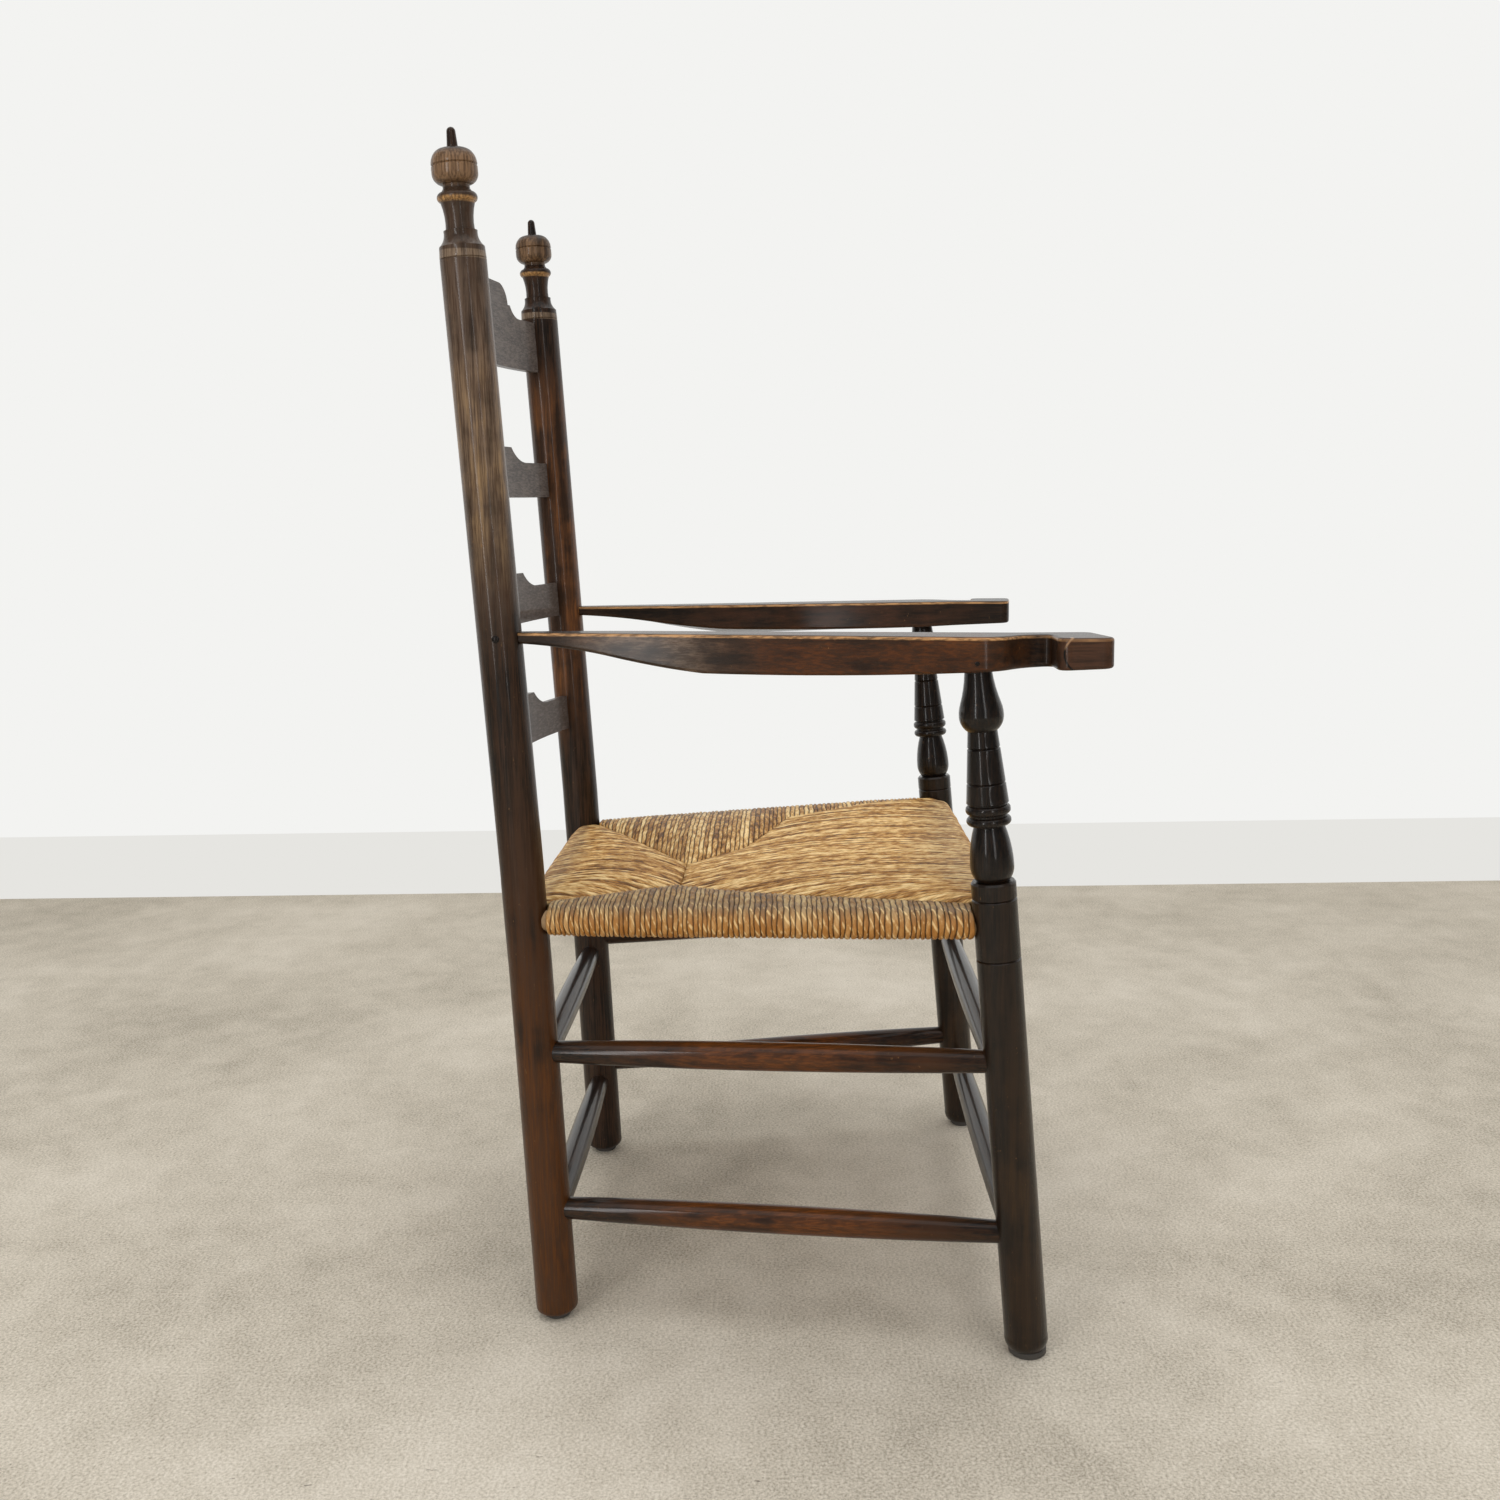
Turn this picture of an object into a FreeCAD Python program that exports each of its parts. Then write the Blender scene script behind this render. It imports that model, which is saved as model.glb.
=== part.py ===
"""Ladderback armchair with turned front posts, bowed slats and a woven rush seat.

Millimetres, +Z up, the front of the chair faces -Y and the sitter's left hand is at +X.
The left-hand pieces are drawn, and the right-hand ones are their mirror images.
"""
import FreeCAD, Part
import math
import os
import re
import Sketcher

# Driving dimensions. A lean, rake or splay is millimetres of shift per millimetre of height.
SIZES = {
    "back_foot_x": 208.0,
    "back_foot_y": 224.9,
    "back_splay": 0.009,
    "back_lean": 0.034,
    "back_rake": 0.0505,
    "bend_height": 430.0,
    "bend_radius": 6000.0,
    "back_post_diameter": 43.6,
    "shaft_top": 632.5,
    "foot_rounding": 7.0,
    "front_foot_x": 284.0,
    "front_foot_y": -252.1,
    "front_splay": 0.012,
    "front_lean": 0.077,
    "front_post_diameter": 42.4,
    "front_foot_diameter": 36.0,
    "shoulder_height": 480.4,
    "arm_tenon_diameter": 19.0,
    "arm_tenon_length": 21.0,
    "groove_depth": 1.1,
    "groove_width": 2.4,
    "drum_height": 11.5,
    "finial_ball_diameter": 42.8,
    "finial_collar_diameter": 37.6,
    "finial_neck_diameter": 25.0,
    "finial_column_diameter": 27.0,
    "finial_button_diameter": 10.4,
    "finial_button_length": 19.4,
    "bulge_diameter": 41.2,
    "bulge_height": 52.5,
    "bead_diameter": 41.8,
    "bead_neck_diameter": 29.0,
    "beads_height": 22.5,
    "cone_base_diameter": 39.5,
    "cone_top_diameter": 27.6,
    "cone_height": 67.5,
    "vase_diameter": 41.4,
    "vase_top_diameter": 25.4,
    "vase_height": 54.5,
    "vase_collar": 1.6,
    "slat_thickness": 8.0,
    "slat_bow": 40.0,
    "slat_tenon_depth": 12.0,
    "top_slat_height": 94.5,
    "top_slat_end_height": 58.5,
    "top_slat_crest_half": 107.0,
    "top_slat_shoulder_radius": 22.5,
    "top_slat_ledge": 6.0,
    "top_slat_cove": 23.0,
    "slat_height": 57.5,
    "slat_end_height": 40.5,
    "slat_crest_half": 100.0,
    "slat_cove": 42.0,
    "top_slat_drop": 64.5,
    "slat_pitch": 149.0,
    "slat_pitch_fall": 4.0,
    "arm_height": 707.8,
    "arm_rise": 5.8,
    "arm_end_height": 11.0,
    "arm_belly_depth": 31.3,
    "arm_belly_tilt": 0.17,
    "arm_belly_setback": 178.0,
    "arm_front_depth": 30.8,
    "arm_end_width": 18.0,
    "arm_tongue_width": 12.0,
    "arm_tongue_height": 9.6,
    "arm_tongue_depth": 32.0,
    "arm_housing": 3.0,
    "arm_outer_offset": 25.0,
    "arm_flare_length": 136.0,
    "arm_flare_inner": 29.0,
    "hand_overhang": 117.0,
    "hand_length": 51.0,
    "hand_slant": 8.5,
    "hand_height": 27.3,
    "hand_outer_offset": 42.0,
    "hand_inner_offset": 31.0,
    "hand_corner": 12.0,
    "scoop_depth": 26.0,
    "scoop_corner": 6.0,
    "arm_rounding": 3.0,
    "peg_diameter": 7.0,
    "pin_diameter": 4.0,
    "pin_rise": 8.0,
    "stretcher_end_diameter": 22.0,
    "stretcher_middle_diameter": 28.5,
    "stretcher_tenon_diameter": 16.0,
    "stretcher_tenon_depth": 20.0,
    "stretcher_housing": 4.0,
    "side_upper_back": 287.0,
    "side_upper_front": 300.0,
    "side_lower_back": 118.5,
    "side_lower_front": 125.0,
    "front_upper_height": 268.0,
    "front_lower_height": 101.0,
    "back_upper_height": 269.0,
    "back_lower_height": 97.0,
    "rail_diameter": 21.0,
    "rail_tenon_diameter": 15.0,
    "rail_tenon_depth": 12.0,
    "side_rail_back": 424.5,
    "side_rail_front": 435.5,
    "back_rail_height": 424.0,
    "back_rail_inset": 6.0,
    "front_rail_height": 435.5,
    "rush_thickness": 5.5,
    "rush_crown": 5.5,
    "rush_valley_drop": 15.0,
    "rush_sag": 8.0,
    "rush_seam_left": 6.0,
    "rush_seam_right": 110.0,
    "rush_seam_setback": 146.0,
    "rush_bend_x": 200.0,
    "rush_bend_setback": 255.0,
    "rush_corner": 22.5,
    "glide_thickness": 7.0,
    "front_left_glide_diameter": 30.0,
    "front_right_glide_diameter": 37.0,
    "back_left_glide_diameter": 27.0,
    "back_right_glide_diameter": 28.0,
    "nail_diameter": 3.0,
    "nail_head_diameter": 8.0,
    "nail_length": 20.0,
    "fit_clearance": 0.15,
    "rush_clearance": 0.3,
}

document = FreeCAD.newDocument("ladderback_chair")
sheet = document.addObject("Spreadsheet::Sheet", "sizes")
for row, (alias, value) in enumerate(SIZES.items(), start=1):
    sheet.set("A%d" % row, alias)
    sheet.set("B%d" % row, str(value))
    sheet.setAlias("B%d" % row, alias)
document.recompute()

X_AXIS = FreeCAD.Vector(1, 0, 0)
# How far cutting shapes run past what they cut, and the half width of a block wider than the chair
OVERSHOOT = "10"
WIDE = "600"
subparts = {}


def formula(text):
    """Turn a formula in the names of the sizes into one that a bound property understands."""
    return re.sub(r"[a-z_][a-z0-9_]*",
                  lambda word: "sizes." + word.group() if word.group() in SIZES else word.group(),
                  str(text))


def value_of(text):
    """The number that a formula in the names of the sizes has now."""
    return float(sheet.evalExpression(formula(text)))


def vector_of(point):
    """The vector of a point given as three formulas."""
    return FreeCAD.Vector(*[value_of(part) for part in point])


def back_post_point(height):
    """A point on the axis of the left back post, below or above its bend."""
    x = f"(back_foot_x + back_splay * ({height}))"
    if value_of(height) < value_of("bend_height"):
        y = f"(back_foot_y + back_lean * ({height}))"
    else:
        y = f"(back_foot_y + back_lean * bend_height + back_rake * (({height}) - bend_height))"
    return x, y, f"({height})"


def front_post_point(height):
    """A point on the axis of the left front post."""
    x = f"(front_foot_x + front_splay * ({height}))"
    y = f"(front_foot_y + front_lean * ({height}))"
    return x, y, f"({height})"


def across(point):
    """The same point on the right-hand side."""
    return f"(-1 * {point[0]})", point[1], point[2]


def distance(start, end):
    """The formula of the distance between two points given as formulas."""
    squares = [f"({far} - {near}) ^ 2" for near, far in zip(start, end)]
    return "sqrt(" + " + ".join(squares) + ")"


def place(thing, base, axis=None, angle=None):
    """Bind a placement to a point and, where given, a turn about an axis."""
    turn = "rotation(vector(0; 0; 1); 0)"
    if axis is not None:
        turn = f"rotation(vector({'; '.join(axis)}); {angle})"
    thing.setExpression("Placement", formula(f"placement(vector({'; '.join(base)}); {turn})"))


def place_along(thing, start, end, base):
    """Bind a placement that turns the piece's own Z axis along the line from start to end."""
    run = [f"({far} - {near})" for near, far in zip(start, end)]
    angle = f"acos({run[2]} / {distance(start, end)})"
    place(thing, base, (f"(-1 * {run[1]})", run[0], "0"), angle)


def origin_plane(body, role):
    """One of the three base planes of a body."""
    return [feature for feature in body.Origin.OriginFeatures if feature.Role == role][0]


def arc_centre(start, end, radius):
    """The centre of the arc under half a turn: left of the chord where the radius is positive."""
    chord = end - start
    rise = math.sqrt(max(radius ** 2 - (chord.Length / 2) ** 2, 0.0))
    normal = FreeCAD.Vector(-chord.y, chord.x, 0).normalize()
    return (start + end) * 0.5 + normal * math.copysign(rise, radius)


def hold_point(sketch, edge, position, corner, point):
    """Bind one end of an edge to the two formulas of a corner."""
    for kind, text, number, axis in (("DistanceX", corner[0], point.x, -2),
                                     ("DistanceY", corner[1], point.y, -1)):
        if text == "0":
            sketch.addConstraint(Sketcher.Constraint("PointOnObject", edge, position, axis))
            continue
        held = sketch.addConstraint(Sketcher.Constraint(kind, -1, 1, edge, position, number))
        sketch.setExpression(f".Constraints[{held}]", formula(text))


def draw(body, name, role, loops, closed=True):
    """Add a sketch of loops, or of open paths, to a body.

    Each corner is (x, y) or (x, y, radius) in formulas, and a radius bends the edge that leaves
    the corner: anticlockwise where it is positive, clockwise where it is negative.
    """
    sketch = body.newObject("Sketcher::SketchObject", name)
    sketch.AttachmentSupport = [(origin_plane(body, role), "")]
    sketch.MapMode = "FlatFace"
    for corners in loops:
        points = [FreeCAD.Vector(value_of(c[0]), value_of(c[1]), 0) for c in corners]
        following = points[1:] + points[:1]
        ends = []
        for corner, start, end in list(zip(corners, points, following))[:None if closed else -1]:
            if len(corner) == 2:
                ends.append((sketch.addGeometry(Part.LineSegment(start, end)), 1, 2))
                continue
            radius = value_of(corner[2])
            centre = arc_centre(start, end, radius)
            circle = Part.Circle(centre, FreeCAD.Vector(0, 0, 1), abs(radius))
            first, last = (start, end) if radius > 0 else (end, start)
            angles = [math.atan2(point.y - centre.y, point.x - centre.x) for point in (first, last)]
            edge = sketch.addGeometry(Part.ArcOfCircle(circle, angles[0], angles[1]))
            ends.append((edge, 1, 2) if radius > 0 else (edge, 2, 1))
        for index, (edge, start_end, far_end) in enumerate(ends):
            if closed or index + 1 < len(ends):
                next_edge, next_start, _ = ends[(index + 1) % len(ends)]
                sketch.addConstraint(
                    Sketcher.Constraint("Coincident", edge, far_end, next_edge, next_start))
            hold_point(sketch, edge, start_end, corners[index], points[index])
            if len(corners[index]) == 3:
                radius = corners[index][2]
                held = sketch.addConstraint(
                    Sketcher.Constraint("Radius", edge, abs(value_of(radius))))
                sketch.setExpression(f".Constraints[{held}]", formula(f"abs({radius})"))
        if not closed:
            hold_point(sketch, ends[-1][0], ends[-1][2], corners[-1], points[-1])
    return sketch


def new_body(label):
    """A body that carries its own name."""
    body = document.addObject("PartDesign::Body", label)
    body.Label = label
    return body


def revolve(body, name, corners):
    """Turn a profile, given as distance from the axis and height, round the body's Z axis."""
    sketch = draw(body, name + "_profile", "XZ_Plane", [corners])
    turning = body.newObject("PartDesign::Revolution", name)
    turning.Profile = sketch
    turning.ReferenceAxis = (sketch, ["V_Axis"])
    turning.Angle = 360
    return turning


def pad(body, name, role, corners, length, both_ways=False):
    """Raise a sketch by a length."""
    sketch = draw(body, name + "_outline", role, [corners])
    raised = body.newObject("PartDesign::Pad", name)
    raised.Profile = sketch
    raised.setExpression("Length", formula(length))
    raised.Midplane = both_ways
    return raised


def pocket_through(body, name, role, loops):
    """Cut a sketch right through the body, both ways from its plane."""
    sketch = draw(body, name + "_outline", role, loops)
    cut = body.newObject("PartDesign::Pocket", name)
    cut.Profile = sketch
    cut.Type = "ThroughAll"
    cut.Midplane = True
    return cut


def rod(label, radius, length, start, end):
    """A plain cylinder from a start point towards an end point."""
    cylinder = document.addObject("Part::Cylinder", label)
    cylinder.setExpression("Radius", formula(radius))
    cylinder.setExpression("Height", formula(length))
    place_along(cylinder, start, end, start)
    return cylinder


def block(label, low, size):
    """A box from its low corner and its three sizes."""
    box = document.addObject("Part::Box", label)
    for side, text in zip(("Length", "Width", "Height"), size):
        box.setExpression(side, formula(text))
    place(box, low)
    return box


def fuse(label, things):
    """Join cutting shapes into one."""
    joined = document.addObject("Part::MultiFuse", label)
    joined.Shapes = things
    return joined


def cut_away(label, base, things):
    """A named piece: the base with the cutting shapes taken away."""
    piece = document.addObject("Part::Cut", label)
    piece.Label = label
    piece.Base = base
    piece.Tool = things[0] if len(things) == 1 else fuse(label + "_cuts", things)
    return piece


def mirror(label, source):
    """A named piece: the mirror image of the left-hand one."""
    image = document.addObject("Part::Mirroring", label)
    image.Label = label
    image.Source = source
    image.Normal = X_AXIS
    image.Base = FreeCAD.Vector(0, 0, 0)
    return image


def keep_pair(name, left):
    """Keep a left-hand piece and its mirror image."""
    subparts[name + "_left"] = left
    subparts[name + "_right"] = mirror(name + "_right", left)


def toward(start, end, reach):
    """A point at a distance from start on the line towards end."""
    share = f"(({reach}) / {distance(start, end)})"
    return tuple(f"({near} + {share} * ({far} - {near}))" for near, far in zip(start, end))


def upright(across_run, along_run):
    """The radius of an arc that ends upright after a run across and a run along the axis."""
    return f"((({across_run}) ^ 2 + ({along_run}) ^ 2) / (2 * ({across_run})))"


def groove(radius, height):
    """The three corners of a small V groove in a turned profile."""
    return [(radius, f"{height} - groove_width / 2"), (f"{radius} - groove_depth", height),
            (radius, f"{height} + groove_width / 2")]


# Stretchers and seat rails, and the holes that they need in the posts


def turned_rod(label, start, end, end_size, middle_size, tenon_size, tenon_depth, housing, radii):
    """A rod swelled in its middle, with a tenon at each end, between two post axes."""
    body = new_body(label)
    half = f"({distance(start, end)} / 2)"
    shoulders = [f"({half} - {radius} + {housing})" for radius in radii]
    tips = [f"({half} - {radius} + {tenon_depth})" for radius in radii]
    rise = f"(({middle_size} - {end_size}) / 2)"
    swell = f"((({shoulders[0]} + {shoulders[1]}) / 2) ^ 2 + {rise} ^ 2) / (2 * {rise})"
    revolve(body, label + "_turning", [
        ("0", f"-1 * {tips[0]}"),
        (f"{tenon_size} / 2", f"-1 * {tips[0]}"),
        (f"{tenon_size} / 2", f"-1 * {shoulders[0]}"),
        (f"{end_size} / 2", f"-1 * {shoulders[0]}", swell),
        (f"{end_size} / 2", shoulders[1]),
        (f"{tenon_size} / 2", shoulders[1]),
        (f"{tenon_size} / 2", tips[1]),
        ("0", tips[1]),
    ])
    middle = tuple(f"(({near} + {far}) / 2)" for near, far in zip(start, end))
    place_along(body, start, end, middle)
    return body


def rod_holes(label, start, end, end_size, tenon_size, tenon_depth, housing, radius):
    """The stepped hole in the post whose axis is at start, for a rod that runs towards end."""
    entry = toward(start, end, f"{radius} - {tenon_depth} - fit_clearance")
    mouth = toward(start, end, f"{radius} - {housing} - fit_clearance")
    reach = f"{tenon_depth} + {tenon_size}"
    return [rod(label + "_hole", f"{tenon_size} / 2 + fit_clearance", reach, entry, end),
            rod(label + "_housing", f"{end_size} / 2 + fit_clearance", reach, mouth, end)]


BACK_RADIUS = "back_post_diameter / 2"
FRONT_RADIUS = "front_post_diameter / 2"
STRETCHER = ("stretcher_end_diameter", "stretcher_tenon_diameter", "stretcher_tenon_depth",
             "stretcher_housing")
RAIL = ("rail_diameter", "rail_tenon_diameter", "rail_tenon_depth", "rail_tenon_depth / 4")
back_post_cuts = []
front_post_cuts = []


def side_rod(name, back_height, front_height, sizes, middle_size):
    """A rod on the left side, from the back post to the front post, and its mirror image."""
    end_size, tenon_size, tenon_depth, housing = sizes
    back, front = back_post_point(back_height), front_post_point(front_height)
    keep_pair(name, turned_rod(name + "_left", back, front, end_size, middle_size, tenon_size,
                               tenon_depth, housing, (BACK_RADIUS, FRONT_RADIUS)))
    back_post_cuts.extend(rod_holes(name + "_back", back, front, end_size, tenon_size,
                                    tenon_depth, housing, BACK_RADIUS))
    front_post_cuts.extend(rod_holes(name + "_front", front, back, end_size, tenon_size,
                                     tenon_depth, housing, FRONT_RADIUS))


def cross_rod(name, left, radius, cuts, sizes, middle_size):
    """A rod across the chair between two posts of a pair."""
    end_size, tenon_size, tenon_depth, housing = sizes
    right = across(left)
    subparts[name] = turned_rod(name, right, left, end_size, middle_size, tenon_size,
                                tenon_depth, housing, (radius, radius))
    cuts.extend(rod_holes(name, left, right, end_size, tenon_size, tenon_depth, housing, radius))


side_rod("side_stretcher_upper", "side_upper_back", "side_upper_front", STRETCHER,
         "stretcher_middle_diameter")
side_rod("side_stretcher_lower", "side_lower_back", "side_lower_front", STRETCHER,
         "stretcher_middle_diameter")
cross_rod("front_stretcher_upper", front_post_point("front_upper_height"), FRONT_RADIUS,
          front_post_cuts, STRETCHER, "stretcher_middle_diameter")
cross_rod("front_stretcher_lower", front_post_point("front_lower_height"), FRONT_RADIUS,
          front_post_cuts, STRETCHER, "stretcher_middle_diameter")
cross_rod("back_stretcher_upper", back_post_point("back_upper_height"), BACK_RADIUS,
          back_post_cuts, STRETCHER, "stretcher_middle_diameter")
cross_rod("back_stretcher_lower", back_post_point("back_lower_height"), BACK_RADIUS,
          back_post_cuts, STRETCHER, "stretcher_middle_diameter")
side_rod("seat_rail", "side_rail_back", "side_rail_front", RAIL, "rail_diameter + 1")
cross_rod("seat_rail_front", front_post_point("front_rail_height"), FRONT_RADIUS,
          front_post_cuts, RAIL, "rail_diameter + 1")
rail_x, rail_y, rail_z = back_post_point("back_rail_height")
back_rail_end = (rail_x, f"({rail_y} - back_rail_inset)", rail_z)
cross_rod("seat_rail_back", back_rail_end, BACK_RADIUS, back_post_cuts, RAIL, "rail_diameter + 1")

# Slats


def slat_band(label, bottom, height, end_gap, thickness):
    """A board bowed backwards between the back posts, standing on its bottom edge."""
    body = new_body(label)
    reach = back_post_point(bottom)[0]
    bow_radius = f"(({reach} ^ 2 + slat_bow ^ 2) / (2 * slat_bow))"
    half = f"asin(({reach} - {BACK_RADIUS} + slat_tenon_depth + {end_gap}) / {bow_radius})"
    front = f"({bow_radius} - ({thickness}) / 2)"
    back = f"({bow_radius} + ({thickness}) / 2)"
    centre = f"slat_bow - {bow_radius}"
    pad(body, label + "_board", "XY_Plane", [
        (f"{front} * sin({half})", f"{centre} + {front} * cos({half})"),
        (f"{back} * sin({half})", f"{centre} + {back} * cos({half})", back),
        (f"-1 * {back} * sin({half})", f"{centre} + {back} * cos({half})"),
        (f"-1 * {front} * sin({half})", f"{centre} + {front} * cos({half})", f"-1 * {front}"),
    ], height)
    _, y, z = back_post_point(bottom)
    return body, y, z


def slat(name, bottom, crest, height):
    """A slat with its shaped crest, and the slots for its ends in the left back post."""
    body, y, z = slat_band(name, bottom, height, "0", "slat_thickness")
    shaping = pocket_through(body, name + "_crest", "XZ_Plane", [crest])
    other_end = body.newObject("PartDesign::Mirrored", name + "_crest_right")
    other_end.Originals = [shaping]
    other_end.MirrorPlane = (origin_plane(body, "YZ_Plane"), [""])
    body.Tip = other_end
    place(body, ("0", y, z), ("1", "0", "0"), "-1 * atan(back_rake)")
    subparts[name] = body


def slat_slot(name, bottom, end_height):
    """The slot in the back post for the end of a slat."""
    body, y, z = slat_band(name + "_slot", bottom, f"{end_height} + 2 * fit_clearance",
                           "fit_clearance", "slat_thickness + 2 * fit_clearance")
    place(body, ("0", y, f"{z} - fit_clearance"), ("1", "0", "0"), "-1 * atan(back_rake)")
    back_post_cuts.append(body)


ledge_start = "(top_slat_crest_half + top_slat_shoulder_radius)"
ledge_height = "(top_slat_height - top_slat_shoulder_radius)"
ledge_end = f"({ledge_start} + top_slat_ledge)"
cove_end = f"({ledge_end} + top_slat_cove)"
cove_drop = f"({ledge_height} - top_slat_end_height)"
top_crest = [
    ("top_slat_crest_half", "top_slat_height", "-1 * top_slat_shoulder_radius"),
    (ledge_start, ledge_height),
    (ledge_end, ledge_height, f"(top_slat_cove ^ 2 + {cove_drop} ^ 2) / (2 * {cove_drop})"),
    (cove_end, "top_slat_end_height"),
    ("back_foot_x + back_post_diameter", "top_slat_end_height"),
    ("back_foot_x + back_post_diameter", f"top_slat_height + {OVERSHOOT}"),
    ("top_slat_crest_half", f"top_slat_height + {OVERSHOOT}"),
]
slat_drop = "(slat_height - slat_end_height)"
plain_crest = [
    ("slat_crest_half", "slat_height", f"(slat_cove ^ 2 + {slat_drop} ^ 2) / (2 * {slat_drop})"),
    ("slat_crest_half + slat_cove", "slat_end_height"),
    ("back_foot_x + back_post_diameter", "slat_end_height"),
    ("back_foot_x + back_post_diameter", f"slat_height + {OVERSHOOT}"),
    ("slat_crest_half", f"slat_height + {OVERSHOOT}"),
]
top_slat_bottom = "(bend_height + shaft_top - top_slat_drop)"
slat("slat_1", top_slat_bottom, top_crest, "top_slat_height")
slat_slot("slat_1", top_slat_bottom, "top_slat_end_height")
for below in (1, 2, 3):
    number = below + 1
    falls = below * (below - 1) / 2
    bottom = f"({top_slat_bottom} - {below} * slat_pitch + {falls} * slat_pitch_fall)"
    slat(f"slat_{number}", bottom, plain_crest, "slat_height")
    slat_slot(f"slat_{number}", bottom, "slat_end_height")

# Arms: the plan outline is drawn from the posts' axes at the height of the arm

arm_top_back = "(arm_height + arm_rise)"
arm_under_front = "(arm_height - arm_front_depth)"
arm_back = back_post_point(arm_top_back)
arm_front = front_post_point(arm_under_front)
post_face = f"({arm_back[1]} - {BACK_RADIUS})"
housing_face = f"({post_face} + arm_housing)"
flare_end = f"({post_face} - arm_flare_length)"
hand_front = f"({arm_front[1]} - hand_overhang)"
hand_back = f"({hand_front} + hand_length)"
ahead, behind = f"({hand_front} - {OVERSHOOT})", f"({housing_face} + {OVERSHOOT})"
outer_front = f"({arm_front[0]} + arm_outer_offset)"
arm_end_middle = f"({arm_top_back} - arm_end_height / 2)"
tongue_low = f"({arm_end_middle} - arm_tongue_height / 2)"
hand_outer = f"({arm_front[0]} + hand_outer_offset)"
hand_inner = f"({arm_front[0]} - hand_inner_offset)"


def arm_axis_x(y):
    """Where the straight line between the posts' axes passes at the height of the arm."""
    share = f"(({y}) - {arm_front[1]}) / ({arm_back[1]} - {arm_front[1]})"
    return f"({arm_front[0]} + ({arm_back[0]} - {arm_front[0]}) * {share})"


def arm_top(y):
    """The height of the top of the arm, which falls evenly towards the hand."""
    share = f"({housing_face} - {y}) / ({housing_face} - {hand_front})"
    return f"({arm_top_back} - arm_rise * {share})"


def arm_under(plane_x):
    """The outline of the space under an arm, in the upright plane at a distance from the middle."""
    belly_y = f"({post_face} - arm_belly_setback)"
    belly_x = arm_axis_x(belly_y)
    belly_z = f"(arm_height - arm_belly_depth - arm_belly_tilt * ({plane_x} - {belly_x}))"
    end_z = f"({arm_top_back} - arm_end_height)"
    middle_y, middle_z = f"({post_face} - arm_belly_setback / 2)", f"(({end_z} + {belly_z}) / 2)"
    bend = f"(((arm_belly_setback / 2) ^ 2 + ({end_z} - {middle_z}) ^ 2) / ({end_z} - {middle_z}))"
    return [
        (ahead, f"-1 * {OVERSHOOT}"),
        (behind, f"-1 * {OVERSHOOT}"),
        (behind, end_z),
        (post_face, end_z, bend),
        (middle_y, middle_z, f"-1 * {bend}"),
        (belly_y, belly_z),
        (arm_front[1], arm_under_front),
        (ahead, "(arm_height - hand_height)"),
    ]


def flat_edges(shape, limit_y):
    """The numbers of the edges between a flat face and an upright one, ahead of a limit."""
    names = []
    for index, edge in enumerate(shape.Edges):
        if edge.BoundBox.YMin > limit_y - 1:
            continue
        tilts = [abs(face.normalAt(*face.Surface.parameter(edge.CenterOfMass)).z)
                 for face in shape.ancestorsOfType(edge, Part.Face)]
        if min(tilts) < 0.3 and max(tilts) > 0.8:
            names.append(f"Edge{index + 1}")
    return names


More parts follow.
